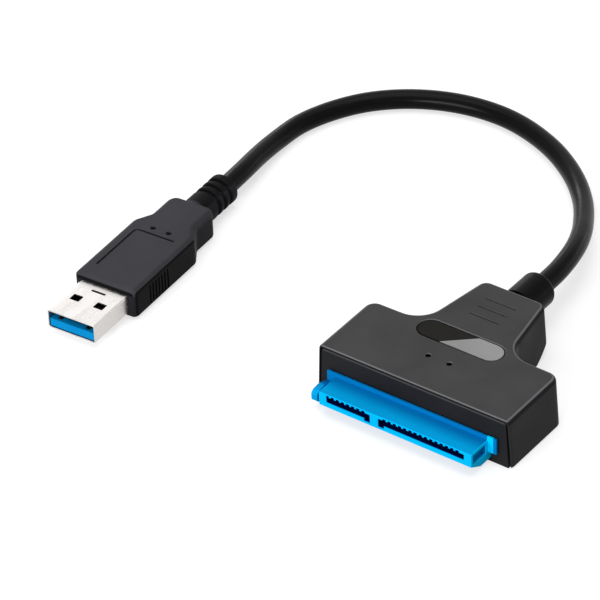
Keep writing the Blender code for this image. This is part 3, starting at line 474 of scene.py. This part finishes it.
def new_group(name, inputs, outputs):
    """An empty node group, and its two ends. An input without a value is a vector, the rest are numbers."""
    group = bpy.data.node_groups.new(name, "ShaderNodeTree")
    for label, value in inputs.items():
        kind = "NodeSocketVector" if value is None else "NodeSocketFloat"
        socket = group.interface.new_socket(label, in_out="INPUT", socket_type=kind)
        if value is not None:
            socket.default_value = value
    for label in outputs:
        group.interface.new_socket(label, in_out="OUTPUT", socket_type="NodeSocketFloat")
    return group, group.nodes.new("NodeGroupInput").outputs, group.nodes.new("NodeGroupOutput")


def add_group(tree, group, inputs):
    """The outputs of a node group placed in a tree."""
    node = tree.nodes.new("ShaderNodeGroup")
    node.node_tree = group
    return wire(tree, node, inputs).outputs


grain_group, given, made = new_group(
    "moulded_grain", {"Vector": None, "Grain Scale": 3000.0, "Mottle Scale": 90.0}, ["Grain", "Mottle"])
fine = add_node(grain_group, "TexNoise", {"Vector": given["Vector"], "Scale": given["Grain Scale"],
                                          "Detail": 3.0, "Roughness": 0.65})
pits = grain_group.nodes.new("ShaderNodeTexVoronoi")
pits.feature = "SMOOTH_F1"
wire(grain_group, pits, {"Vector": given["Vector"], "Scale": given["Grain Scale"]})
slow = add_node(grain_group, "TexNoise", {"Vector": given["Vector"], "Scale": given["Mottle Scale"],
                                          "Detail": 4.0})
spread = add_node(grain_group, "MapRange", {"Value": slow["Fac"], "From Min": 0.35, "From Max": 0.65})
wire(grain_group, made, {
    "Grain": worked_out(grain_group, "MULTIPLY", fine["Fac"], pits.outputs["Distance"]),
    "Mottle": spread["Result"],
})
print("group", grain_group.name)

# %% [markdown]
# A finish here has a base colour that drifts a little with the mottle, a roughness that does the same, and
# a bump from the grain. One function wires that up, and each real material then only states its own
# numbers. Its tone is written as a screen shows it, from 0 to 255.

# %% Finish builder
def make_finish(name, tone, roughness, grain, depth, drift=0.12, rough_drift=0.06, metallic=0.0,
                mottle=90.0, stretch=(1.0, 1.0, 1.0), shine=0.5):
    """A Principled material: colour +- drift and roughness +- rough_drift by mottle, a bump by grain."""
    material = bpy.data.materials.new(f"{name}_finish")
    material.use_nodes = True
    tree = material.node_tree
    place = add_node(tree, "TexCoord", {})["Object"]
    stretched = add_node(tree, "Mapping", {"Vector": place, "Scale": stretch})["Vector"]
    texture = add_group(tree, grain_group, {"Vector": stretched, "Grain Scale": grain,
                                            "Mottle Scale": mottle})
    base = np.array(colour(*tone)[:3])
    dark = (*(base * (1 - drift)), 1.0)
    light = (*np.minimum(base * (1 + drift), 1.0), 1.0)
    polish = add_node(tree, "MapRange", {"Value": texture["Mottle"], "To Min": roughness - rough_drift,
                                         "To Max": roughness + rough_drift})
    bump = add_node(tree, "Bump", {"Strength": 1.0, "Distance": depth, "Height": texture["Grain"]})
    wire(tree, tree.nodes["Principled BSDF"], {
        "Base Color": blended(tree, texture["Mottle"], dark, light),
        "Roughness": polish["Result"],
        "Metallic": metallic,
        "Specular IOR Level": shine,
        "Normal": bump["Normal"],
    })
    return material


# %% [markdown]
# Some places carry another tone than the rest of their piece: painted shade on the sides below a top and in
# the depth of a slot, a painted highlight along an edge, and one half of the badge. Such a place lies
# between two parallel planes, or between several pairs of them. One shared group answers whether a point
# is inside one pair, with soft ends, and a patch takes the smallest answer of its pairs.

# %% Shared span group
span_group, given, made = new_group(
    "span_mask", {"Vector": None, "Direction": None, "Low": 0.0, "High": 1.0, "Soft": 0.0001}, ["Mask"])
reach = span_group.nodes.new("ShaderNodeVectorMath")
reach.operation = "DOT_PRODUCT"
wire(span_group, reach, {0: given["Vector"], 1: given["Direction"]})
ends = []
for label, operation in (("Low", "SUBTRACT"), ("High", "ADD")):
    outer = worked_out(span_group, operation, given[label], given["Soft"])
    fade = add_node(span_group, "MapRange", {"Value": reach.outputs["Value"], "From Min": outer,
                                             "From Max": given[label]})
    ends.append(fade["Result"])
wire(span_group, made, {"Mask": worked_out(span_group, "MINIMUM", *ends)})
print("group", span_group.name)

# %% Patches
def add_patch(material, tone, *spans):
    """Another tone where the place along each span's direction lies between its low and its high."""
    tree = material.node_tree
    place = tree.nodes["Texture Coordinate"].outputs["Object"]
    mask = None
    for direction, low, high, soft in spans:
        inside = add_group(tree, span_group, {"Vector": place, "Direction": direction, "Low": low,
                                              "High": high, "Soft": soft})["Mask"]
        mask = inside if mask is None else worked_out(tree, "MINIMUM", mask, inside)
    base = tree.nodes["Principled BSDF"].inputs["Base Color"]
    tree.links.new(blended(tree, mask, base.links[0].from_socket, colour(*tone)), base)


print("patches ready")

# %% [markdown]
# Housing, front plate and plug are a dark matt plastic with a fine grain, jacket and collar a smoother and
# blacker one, and the connector is bright blue. Patches paint shade on the housing's sides and a dark line
# of shade along its top edge, with a thin painted highlight above it, and paint shade that deepens the blue
# towards the housing. The plated mouth is a metal whose grain is stretched along its length.

# %% Dark plastics
front_y = float(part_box("upper_shell")[0][1])
across = (1.0, 0.0, 0.0)
along = (0.0, 1.0, 0.0)
upward = (0.0, 0.0, 1.0)
below_table = -1.0 * mm
side_top = 10.8 * mm
housing_finish = make_finish("housing", (63, 63, 64), 0.5, 2600.0, 0.03 * mm, shine=0.04)
# painted shade: the walls below the top edge are darker than the top
add_patch(housing_finish, (46, 46, 47), (upward, below_table, side_top, 0.15 * mm))
# painted shade: a dark band on the lower part of the top edge's rounding
add_patch(housing_finish, (30, 30, 32), (upward, side_top, 11.45 * mm, 0.15 * mm))
# painted highlight: a thin light line high on the top edge's rounding
add_patch(housing_finish, (104, 104, 106), (upward, 11.58 * mm, 11.72 * mm, 0.06 * mm))
# painted shade: the housing's plastic in a darker tone, as the plate's face is in shade
shaded_plate_finish = make_finish("front_plate", (31, 31, 33), 0.5, 2600.0, 0.03 * mm, shine=0.04)
# painted highlight: a lighter band along the plate's top edge
add_patch(shaded_plate_finish, (66, 66, 68), (upward, 10.78 * mm, 11.5 * mm, 0.1 * mm))
moulding_finish = make_finish("moulding", (58, 57, 61), 0.5, 2600.0, 0.03 * mm, shine=0.03)
jacket_finish = make_finish("jacket", (4, 4, 5), 0.28, 1800.0, 0.01 * mm, mottle=140.0, shine=0.07,
                            rough_drift=0.03)
collar_finish = make_finish("collar", (8, 8, 9), 0.3, 2600.0, 0.02 * mm, shine=0.05)
print("dark plastics ready")

# %% Blue plastic
blue_finish = make_finish("connector_blue", (0, 154, 216), 0.45, 2200.0, 0.006 * mm, drift=0.06,
                          shine=0.02)
# painted shade: the blue deepens towards the housing, whose overhang shades it
add_patch(blue_finish, (0, 112, 178), (along, front_y - 1.8 * mm, front_y + 20.0 * mm, 3.0 * mm))
# painted highlight: a lighter blue on the connector's right end
add_patch(blue_finish, (0, 200, 255), (across, 18.6 * mm, 20.0 * mm, 0.08 * mm))
# painted highlight: a lighter blue on the connector's front face
add_patch(blue_finish, (0, 180, 255), (along, front_y - 8.0 * mm, front_y - 6.44 * mm, 0.08 * mm))
print("blue plastic ready")

# %% Metals
metal_finish = make_finish("plated_metal", (198, 195, 193), 0.28, 900.0, 0.001 * mm, drift=0.03,
                           metallic=1.0, stretch=(6.0, 0.5, 6.0))
gold = {"tone": (226, 186, 100), "roughness": 0.26, "grain": 1500.0, "depth": 0.004 * mm, "drift": 0.06,
        "metallic": 1.0}
gold_finish = make_finish("contact_gold", **gold)
can_finish = make_finish("can", (200, 200, 198), 0.3, 1500.0, 0.004 * mm, drift=0.04, metallic=1.0)
print("metals ready")

# %% Inner finishes
board_finish = make_finish("solder_mask", (18, 82, 50), 0.35, 1200.0, 0.01 * mm, drift=0.15,
                           mottle=500.0)
chip_finish = make_finish("chip", (28, 28, 30), 0.5, 3000.0, 0.02 * mm)
ferrite_finish = make_finish("ferrite", (58, 56, 54), 0.65, 2500.0, 0.03 * mm)
lamp_finish = make_finish("lamp", (226, 222, 200), 0.3, 1500.0, 0.005 * mm)
guide_finish = make_finish("light_guide", (30, 31, 33), 0.15, 900.0, 0.003 * mm)
mould_finish = make_finish("inner_mould", (205, 202, 190), 0.55, 1800.0, 0.02 * mm)
print("inner finishes ready")

# %% [markdown]
# The housing is a shallow box with square shoulders that narrows through hollow curves into a neck. Its
# outline is eight corners with arcs. Carried upwards it leans in by a small draft, and at the top edge it
# pulls in along a quarter round, the thin bright line in the photograph. Modelling it by hand with bevels
# would give the same shape, but here one outline serves the walls, the draft and the edge alike.

# %% Housing sizes
housing_width = 46.6 * mm
housing_depth = 37.2 * mm
housing_height = 11.8 * mm
side_draft = 0.6 * mm
shoulder_depth = 18.7 * mm
neck_start = 18.9 * mm
neck_base_width = 21.4 * mm
neck_width = 15.4 * mm
top_edge_radius = 1.1 * mm
front_edge_share = 0.4
foot_edge = 0.3 * mm
wall = 1.5 * mm
seat_gap = 0.3 * mm
roof = housing_height - 1.6 * mm
front_rim = 0.35 * mm
plate_gap = 0.45 * mm
frame_front = 0.1 * mm
frame_rear = 2.5 * mm
ramp_length = 7.6 * mm
ramp_height = 3.2 * mm
socket_offset = Vector((0.0, front_y, 0.0))
print("housing front at y =", round(front_y, 5))


def housing_corners(front=0.0):
    """The housing's outline from above, from its front edge round to its neck's end and back."""
    side, base, neck = housing_width / 2, neck_base_width / 2, neck_width / 2
    return mirrored([(side, front, 0.6 * mm), (side, shoulder_depth, 2.5 * mm),
                     (base, neck_start, 5.8 * mm), (neck, housing_depth, 2.2 * mm)])


def draft_at(z):
    """How far the walls stand out at a height: the whole draft at the foot and none at the top."""
    return side_draft * (1 - z / housing_height)


# %% Housing body
def make_housing_body():
    """The outline at each height, moved out by the draft and in by the foot's and the top edge's rounding.

    The front takes only a share of the rounding, so that its edge stays crisp.
    """
    angle = np.linspace(0.0, math.pi / 2, 9)
    rise = housing_height - top_edge_radius
    levels = [(0.0, -foot_edge), (foot_edge, 0.0)]
    levels += list(zip(rise + top_edge_radius * np.sin(angle), top_edge_radius * (np.cos(angle) - 1)))
    side_share = 1 - front_edge_share
    rows = [(z, front_edge_share * offset, draft_at(z) + side_share * offset) for z, offset in levels]
    return carried("housing_top", stacked(housing_corners(), rows, "z", 14))


housing = make_housing_body()
print("housing points:", len(housing.data.vertices))

# %% [markdown]
# The inside, the sloped underside of the neck and every opening are cuts. The room follows the same
# outline moved in by the wall. The slope below the neck is a power curve, flat at first and steeper
# towards the rear, and the room's floor runs along it, one wall higher.

# %% Housing cutters
def ramp_line(rise, steps=24):
    """The slope in (y, z): the height grows as the 1.6th power of the share of the slope's length."""
    share = np.linspace(0.0, 1.0, steps + 1)
    return np.stack([housing_depth - ramp_length * (1 - share), rise + ramp_height * share ** 1.6], axis=1)


def profile_cutter(profile, half_width=40.0 * mm):
    """A (y, z) profile carried straight across the whole housing."""
    return carried("cutter", [placed(profile, at, "x") for at in (-half_width, half_width)])


def make_ramp_cutter():
    """Everything below the slope under the neck."""
    line = ramp_line(0.0)
    end_y = line[-1, 0] + wall
    below = [(end_y, line[-1, 1]), (end_y, -wall), (line[0, 0], -wall)]
    return profile_cutter(np.vstack([line[:-1], below]))


def make_room_cutter():
    """The outline moved in by the wall and carried up to the roof, kept only above the slope."""
    corners = housing_corners(front=frame_rear - wall)
    rows = [(z, -wall, draft_at(max(z, 0.0))) for z in (-wall, 0.0, roof)]
    room = carried("cutter", stacked(corners, rows, "z", 8))
    line = ramp_line(wall) - (wall, 0.0)
    front, top = -wall, roof + wall
    profile = np.vstack([[(front, -2 * wall), (line[0, 0], -2 * wall)], line,
                         [(line[-1, 0], top), (front, top)]])
    return combined(room, [profile_cutter(profile)], "INTERSECT")


def opening_corners(gap, foot):
    """The front opening in (x, z), narrowed by a gap: straight at its foot, rounded at its top."""
    top = housing_height - front_rim - gap
    half = housing_width / 2 - front_rim - gap
    return mirrored([(half + draft_at(foot), foot, 0.0), (half + draft_at(top), top, 1.2 * mm - gap)])


round_end = 0.497


def disc_corners(x, y, diameter):
    """A round hole, as a square whose corner arcs nearly meet."""
    return box_corners(around(x, diameter), around(y, diameter), round_end * diameter)


badge_length = 20.8 * mm
badge_width = 6.0 * mm
badge_y = 17.2 * mm
badge_depth = 0.7 * mm
light_spacing = 5.2 * mm
light_y = 9.4 * mm
light_hole = 1.3 * mm
line_pitch = 2.95 * mm
last_line_y = housing_depth - 5.4 * mm
collar_axis = (0.0, 7.2 * mm)
rear_wall = housing_depth - wall
bore_radius = 3.0 * mm
socket_radius = 3.6 * mm


def make_top_cutters():
    """The badge's recess, the two light holes and the three engraved lines."""
    top = housing_height
    badge = box_corners(around(0.0, badge_length), around(badge_y, badge_width), round_end * badge_width)
    cutters = [flared_cutter(badge, top, badge_depth, "z", flare=0.12 * mm, steps=20)]
    for side in (-1, 1):
        hole = disc_corners(side * light_spacing / 2, light_y, light_hole)
        cutters.append(flared_cutter(hole, top, 2.2 * mm, "z", steps=10))
    for index in range(3):
        line_y = last_line_y - index * line_pitch
        line = box_corners(around(0.0, 7.5 * mm), around(line_y, 0.35 * mm), 0.16 * mm)
        cutters.append(flared_cutter(line, top, 0.3 * mm, "z", flare=0.05 * mm, steps=4))
    return cutters


def make_bore_cutter():
    """A round way out for the cable, wider inside the wall than through it."""
    profile = [(rear_wall - 2.0 * mm, socket_radius), (rear_wall, socket_radius), (rear_wall, bore_radius),
               (housing_depth + 2.0 * mm, bore_radius)]
    return turned("cutter", profile, collar_axis, "y")


front_opening = flared_cutter(opening_corners(0.0, -wall), 0.0, frame_rear + seat_gap, "y", outward=-1.0)
combined(housing, [make_ramp_cutter(), make_room_cutter(), front_opening, *make_top_cutters(),
                   make_bore_cutter()])
moved(housing, socket_offset)
finish_piece(housing, housing_finish, "housing_plastic", "upper_shell")

# %% [markdown]
# The housing's front is a separate flat plate let into its rim, so a dark hairline runs round it. It is
# one outline with rounded top corners, carried through the plate's thickness, with a long opening for the
# connector.

# %% Front plate
front_plate = soft_prism("front_plate", opening_corners(plate_gap, 0.0), (frame_front, frame_rear), "y",
                         edge=0.12 * mm)
socket_half = 18.715 * mm
socket_low = 0.8 * mm
socket_high = 5.8 * mm
plate_opening = box_corners(around(0.0, 2 * (socket_half + seat_gap)), (0.5 * mm, socket_high + seat_gap),
                            0.2 * mm)
combined(front_plate, [flared_cutter(plate_opening, frame_front, 4.0 * mm, "y", outward=-1.0)])
moved(front_plate, socket_offset)
finish_piece(front_plate, shaded_plate_finish, "housing_plastic", "front_frame")

# %% [markdown]
# The badge plate sits in a recess with round ends. It is left without any lettering: a plain two-tone
# field, dark on the left and silver on the right, split by one straight slanted edge.

# %% Badge finish
badge_finish = make_finish("badge", (143, 143, 143), 0.45, 2400.0, 0.01 * mm, drift=0.07, shine=0.03)
split_slant = 1.17
split_place = -split_slant * (front_y + badge_y) - 0.25 * mm
add_patch(badge_finish, (28, 27, 25),
          ((1.0, -split_slant, 0.0), split_place - 100.0 * mm, split_place, 0.08 * mm))
print("badge split at", round(split_place, 5))

# %% Badge plate
badge_low = housing_height - badge_depth + seat_gap
badge_plate = soft_prism(
    "badge_plate",
    box_corners(around(0.0, badge_length - 2 * seat_gap), around(badge_y, badge_width - 2 * seat_gap),
                round_end * (badge_width - 2 * seat_gap)),
    (badge_low, badge_low + 0.3 * mm), "z", edge=0.08 * mm, steps=20)
moved(badge_plate, socket_offset)
finish_piece(badge_plate, badge_finish, "badge_inlay", "badge_inlay")

# %% [markdown]
# The drive connector is one blue moulding: a long body with a chamfered underside, a thin flange against
# the housing and a small guide arm on the left. Two L-shaped slots take the drive's blades, and a comb of
# narrow channels above them holds the spring contacts. Each part is an outline carried along one axis, and
# they are joined and then cut.

# %% Drive connector body
socket_face = -6.5 * mm
socket_rear = 4.5 * mm


def make_connector_body():
    """A (y, z) profile carried across, with a flat flange, an arm and the root that joins the arm."""
    profile = [(socket_face, 2.6 * mm, 0.15 * mm), (-3.2 * mm, socket_low, 0.3 * mm),
               (socket_rear, socket_low, 0.1 * mm), (socket_rear, socket_high, 0.1 * mm),
               (socket_face, socket_high, 0.15 * mm)]
    body = soft_prism("drive_connector", profile, around(0.0, 2 * socket_half), "x", edge=0.15 * mm)
    flange = soft_prism("flange", box_corners(around(0.0, 41.6 * mm), (2.9 * mm, 6.7 * mm), 0.2 * mm),
                        (-0.7 * mm, -0.2 * mm), "y", edge=0.08 * mm)
    arm_profile = np.array([(-0.2, 1.8, 0.1), (-0.2, 3.8, 0.1), (-2.9, 4.8, 0.5), (-5.1, 4.6, 0.5),
                            (-5.8, 3.9, 0.5), (-5.8, 2.4, 0.5), (-5.2, 1.8, 0.3)]) * mm
    arm = soft_prism("arm", arm_profile, (-21.215 * mm, -19.715 * mm), "x", edge=0.12 * mm)
    root = box_cutters((-20.465 * mm, -18.0 * mm), (-4.2 * mm, -0.45 * mm), (2.5 * mm, 3.8 * mm))
    return combined(body, [flange, arm, root], "UNION")


connector = make_connector_body()
print("connector points:", len(connector.data.vertices))

# %% Slots and channels
slot_low = 3.8 * mm
slot_high = 5.05 * mm
channel_top = 5.62 * mm
channel_width = 0.8 * mm
key_low = slot_low - 0.65 * mm
key_width = 1.3 * mm
blade_clearance = 0.24 * mm
slot_left = -16.815 * mm
slot_middle = slot_left + 10.41 * mm + blade_clearance
slot_again = -slot_left - 20.57 * mm - blade_clearance
slot_right = -slot_left


def l_slot(left, key, right, low_left, low_right):
    """A long slot whose floor steps down at one end, so that a blade fits only one way up."""
    corners = [(left, low_left), (key, low_left), (key, low_right), (right, low_right), (right, slot_high),
               (left, slot_high)]
    return [(a, b, 0.06 * mm) for a, b in corners]


contact_pitch = 1.27 * mm
signal_x = (slot_left + slot_middle) / 2 + (np.arange(7) - 3) * contact_pitch
power_x = (slot_again + slot_right) / 2 + (np.arange(15) - 7) * contact_pitch


def make_channels():
    """One box per contact, along the slot's ceiling and on through the body, and a short one at the end."""
    x = np.transpose(around(np.concatenate([signal_x, power_x]), channel_width))
    x = np.vstack([x, (slot_left, signal_x[0] - contact_pitch + channel_width / 2)])
    y = np.tile((-8.0 * mm, 6.0 * mm), (len(x), 1))
    y[-1, 1] = -1.0 * mm
    return box_cutters(x, y, (slot_high - 0.15 * mm, channel_top))


outlines = [l_slot(slot_left, slot_middle - key_width, slot_middle, slot_low, key_low),
            l_slot(slot_again, slot_again + key_width, slot_right, key_low, slot_low)]
slots = [flared_cutter(outline, socket_face, 5.9 * mm, "y", flare=0.16 * mm, steps=3, outward=-1.0)
         for outline in outlines]
recess = flared_cutter(box_corners((-5.8 * mm, -1.4 * mm), (3.0 * mm, 5.1 * mm), 0.2 * mm),
                       socket_half, 0.8 * mm, "x", flare=0.08 * mm)
combined(connector, [*slots, make_channels(), recess])
moved(connector, socket_offset)
# painted shade: dark navy inside the slots and channels behind the front face, where little light gets in
add_patch(blue_finish, (0, 16, 74),
          (along, front_y + socket_face + 0.2 * mm, front_y + 3.0 * mm, 0.15 * mm),
          (across, slot_left - 0.1 * mm, slot_right + 0.1 * mm, 0.05 * mm),
          (upward, key_low - 0.1 * mm, channel_top + 0.05 * mm, 0.02 * mm))
finish_piece(connector, blue_finish, "connector_blue", "socket_insulator")

# %% [markdown]
# The collar behind the neck is a plain barrel turned round the cable's axis, with a soft rear edge and a
# narrower waist that passes through the housing's wall.

# %% Cable collar
collar_front = housing_depth + draft_at(3.2 * mm) + seat_gap
collar_rear = housing_depth + 9.2 * mm
collar_radius = 4.0 * mm
head_radius = socket_radius - seat_gap
waist_radius = bore_radius - seat_gap
collar_profile = [
    (rear_wall - 1.7 * mm, head_radius),
    (rear_wall - seat_gap, head_radius),
    (rear_wall - seat_gap, waist_radius),
    (collar_front, waist_radius),
    (collar_front, collar_radius - 0.2 * mm),
    (collar_front + 0.2 * mm, collar_radius),
    *quarter_round(collar_rear, collar_radius, 1.1 * mm, 10),
    (collar_rear, 2.6 * mm),
    (collar_rear - 0.35 * mm, 2.4 * mm),
]
collar = turned("cable_collar_barrel", collar_profile, collar_axis, "y")
moved(collar, socket_offset)
finish_piece(collar, collar_finish, "cable_jacket", "cable_collar")

# %% [markdown]
# The plug's body is one soft moulding: flat top and bottom, chamfered all round, a shoulder where it
# narrows and a ribbed boot round the cable. Its corners are softened by short curves that leave both sides
# smoothly, both in the outline and up the wall.

# %% Plug body
plug_place = Vector((-77.05, -22.7, 3.7)) * mm
plug_turn = math.radians(3.6)
moulding_width = 15.6 * mm
moulding_half_height = 3.7 * mm
moulding_length = 34.2 * mm
chamfer = 1.0 * mm
chamfer_rise = 0.8 * mm


def softened(points, reach, steps=5):
    """A line whose inner corners give way to curves: (1 - t)^2 a + 2 t (1 - t) corner + t^2 b.

    a and b lie reach before and after the corner, or 0.45 of the way where the stretch is short.
    """
    points = np.asarray(points, float)
    stretch = np.diff(points, axis=0)
    length = np.linalg.norm(stretch, axis=1)[:, None]
    step_in = stretch / length * np.minimum(reach, 0.45 * length)
    corner = points[1:-1]
    first, last = corner - step_in[:-1], corner + step_in[1:]
    t = np.linspace(0.0, 1.0, steps + 1)[None, :, None]
    curves = (1 - t) ** 2 * first[:, None] + 2 * t * (1 - t) * corner[:, None] + t ** 2 * last[:, None]
    return np.vstack([points[:1], curves.reshape(-1, points.shape[1]), points[-1:]])


def moulding_corners():
    """The plug's outline from above: wide to the shoulder, then narrower to the boot."""
    side, neck = moulding_width / 2, 5.6 * mm
    return mirrored([(side, 0.0, 1.3 * mm), (side, 22.6 * mm, 2.4 * mm), (neck, 26.3 * mm, 2.4 * mm),
                     (neck, moulding_length, 2.2 * mm)])


def make_moulding_body():
    """The outline at each height, moved in by the chamfers above and below a straight wall."""
    half = moulding_half_height
    wall_line = [(-half, -2 * chamfer), (-half, -chamfer), (-half + chamfer_rise, 0.0),
                 (half - chamfer_rise, 0.0), (half, -chamfer), (half, -2 * chamfer)]
    return carried("plug_body", stacked(moulding_corners(), softened(wall_line, 0.3 * mm), "z", 12))


boot_radius = 3.55 * mm
boot_end = moulding_length + 11.4 * mm


def make_boot():
    """Straight barrel, three grooves with softened edges, then a rounded end with a small mouth."""
    groove_half, groove_radius = 0.55 * mm, boot_radius - 0.7 * mm
    line = [(25.0 * mm, boot_radius)]
    for index in (2, 1, 0):
        middle = boot_end - 2.4 * mm - index * 2.25 * mm
        start, end = middle - groove_half, middle + groove_half
        line += [(start, boot_radius), (start, groove_radius), (end, groove_radius), (end, boot_radius)]
    line += [(boot_end, boot_radius), (boot_end, 2.6 * mm), (boot_end - 0.3 * mm, 2.4 * mm)]
    return turned("boot", softened(line, 0.3 * mm, steps=4), (0.0, 0.0), "y")


def make_plug_cutters():
    """The metal tube's seat, the engraved corner line, two dimples and seven grip slots on each side."""
    top = moulding_half_height
    seat = box_corners(around(0.0, 11.8 * mm), around(0.0, 4.3 * mm), 0.45 * mm)
    left, right, near, far = -5.0 * mm, 4.7 * mm, 4.6 * mm, 19.4 * mm
    half, end = 0.26 * mm, 0.22 * mm
    corner_line = [(left - half, near, end), (left + half, near, end), (left + half, far - half, 0.7 * mm),
                   (right, far - half, end), (right, far + half, end), (left - half, far + half, 1.15 * mm)]
    cutters = [flared_cutter(seat, 0.0, 18.3 * mm, "y", flare=0.01 * mm, outward=-1.0),
               flared_cutter(corner_line, top, 0.5 * mm, "z", flare=0.06 * mm)]
    for side in (-1, 1):
        dimple = disc_corners(side * 2.0 * mm, 21.4 * mm, 1.25 * mm)
        cutters.append(flared_cutter(dimple, top, 0.9 * mm, "z", steps=8))
    grip_y = np.transpose(around(5.6 * mm + 1.1 * mm * np.arange(7), 0.5 * mm))
    for side in (-1, 1):
        face = side * moulding_width / 2
        grip_x = sorted((face - side * 0.3 * mm, face + side * 1.0 * mm))
        cutters.append(box_cutters(grip_x, grip_y, (-2.5 * mm, 2.2 * mm)))
    return cutters


plug_body = combined(make_moulding_body(), [make_boot()], "UNION")
combined(plug_body, make_plug_cutters())
moved(plug_body, plug_place, plug_turn)
print("plug points:", len(plug_body.data.vertices))

# %% Plug tones
plug_along = Vector((-math.sin(plug_turn), math.cos(plug_turn), 0.0))
plug_across = Vector((math.cos(plug_turn), math.sin(plug_turn), 0.0))
plug_start = plug_place.dot(plug_along)
plug_side = plug_place.dot(plug_across) + moulding_width / 2
boot_start = plug_start + moulding_length + 0.2 * mm
# the tone of the painted shade on the plug's front face and right side
painted_shade_tone = (12, 12, 14)
# painted shade: the moulding's front face around the metal mouth
add_patch(moulding_finish, painted_shade_tone, (plug_along, plug_start - 1.0 * mm, plug_start + 0.15 * mm, 0.1 * mm))
add_patch(moulding_finish, (20, 20, 21), (plug_along, boot_start, plug_start + 60.0 * mm, 0.4 * mm))
# painted shade: the plug's walls, below its top chamfer, are darker than its top
add_patch(moulding_finish, (36, 36, 39), (upward, below_table, 5.9 * mm, 0.2 * mm))
# painted shade: the plug's right side darker than its left
add_patch(moulding_finish, painted_shade_tone, (plug_across, plug_side - 0.2 * mm, plug_side + 1.0 * mm, 0.15 * mm))
finish_piece(plug_body, moulding_finish, "plug_plastic", "plug_moulding")

# %% [markdown]
# The metal mouth is a strip folded into a flat tube. It is a ring of loops: along the outside, round the
# rear rim, back along the inside and round the front rim, so the sheet has its true thickness. Two latch
# windows on each broad side and a slit near the plug's body are cut through it. Its seam runs below.

# %% Metal mouth
plug_width = 12.0 * mm
plug_height = 4.5 * mm
sheet = 0.3 * mm
mouth = -12.3 * mm
inner_end = 9.5 * mm


def make_metal_tube():
    """A ring of rounded rectangles: along the outside, then back along the inside, a sheet smaller."""
    corners = box_corners(around(0.0, plug_width), around(0.0, plug_height), 0.5 * mm)
    stations, lack = soft_ends((mouth, inner_end), 0.09 * mm)
    outside, inside = (stacked(corners, zip(stations, moves), "y", 6) for moves in (lack, -sheet - lack))
    return carried("metal_mouth", outside + inside[::-1], ring=True)


def make_window_cutters():
    """Two windows through the top and two through the bottom, the slit above and the seam below."""
    top, bottom = plug_height / 2, -plug_height / 2
    depth, flare = 1.2 * mm, 0.04 * mm
    windows = [box_corners(around(side * 3.0 * mm, 2.3 * mm), around(-5.85 * mm, 2.0 * mm), 0.2 * mm)
               for side in (-1, 1)]
    cutters = [flared_cutter(window, surface, depth, "z", flare=flare, outward=outward)
               for surface, outward in ((top, 1.0), (bottom, -1.0)) for window in windows]
    slit = box_corners(around(0.0, 3.5 * mm), around(-2.05 * mm, 0.6 * mm), 0.29 * mm)
    cutters.append(flared_cutter(slit, top, depth, "z", flare=flare))
    seam = box_cutters(around(0.0, 0.12 * mm), (mouth - 1.0 * mm, 0.0),
                       (bottom - 0.2 * mm, bottom + 0.12 * mm))
    return [*cutters, seam]


metal_mouth = combined(make_metal_tube(), make_window_cutters())
moved(metal_mouth, plug_place, plug_turn)
finish_piece(metal_mouth, metal_finish, "plug_metal", "plug_shell")

# %% [markdown]
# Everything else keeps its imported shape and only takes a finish: the thin bent contacts, the board with its
# parts and the cores that run to it. The tongue and its contacts darken with depth, since little light
# gets into the narrow mouth.

# %% Tongue finish
tongue_finish = make_finish("tongue", (0, 134, 198), 0.4, 2200.0, 0.006 * mm, drift=0.06, shine=0.05)
tongue_gold = make_finish("tongue_gold", **gold)
shade_start = plug_start - 9.6 * mm
in_the_shade = (plug_along, shade_start, plug_start + 20.0 * mm, 1.6 * mm)
add_patch(tongue_finish, (4, 8, 16), in_the_shade)
add_patch(tongue_gold, (20, 16, 10), in_the_shade)
print("tongue dark beyond", round(shade_start, 4))

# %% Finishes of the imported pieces
core_colours = {
    "core_ground": (24, 24, 24),
    "core_supply": (190, 32, 30),
    "core_data_plus": (34, 130, 60),
    "core_data_minus": (232, 232, 228),
    "core_fast_out_pair": (36, 70, 170),
    "core_fast_in_pair": (222, 150, 32),
}
packed_finishes = {
    "lower_shell": housing_finish,
    "plug_insulator": tongue_finish,
    "circuit_board": board_finish,
    "bridge_chip": chip_finish,
    "flash_chip": chip_finish,
    "regulator": chip_finish,
    "crystal": can_finish,
    "inductor": ferrite_finish,
    "access_led": lamp_finish,
    "power_led": lamp_finish,
    "access_light_guide": guide_finish,
    "power_light_guide": guide_finish,
    "plug_inner_mould": mould_finish,
}
tongue_contacts = ("front_contact", "rear_contact")
packed_finishes |= {name: tongue_gold if name.startswith(tongue_contacts) else gold_finish
                    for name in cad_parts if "_contact_" in name}
packed_finishes |= {name: make_finish(name, tone, 0.4, 1800.0, 0.008 * mm)
                    for name, tone in core_colours.items()}
for name, finish in packed_finishes.items():
    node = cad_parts[name]
    node.data.materials.clear()
    node.data.materials.append(finish)
print("finished", len(packed_finishes), "packed pieces")

# %% [markdown]
# The cable takes its jacket finish and stands for the imported cable. Last, the view transform is set to
# Standard.

finish_piece(cable, jacket_finish, "cable_jacket", "cable")

# %% View transform
scene.view_settings.view_transform = "Standard"
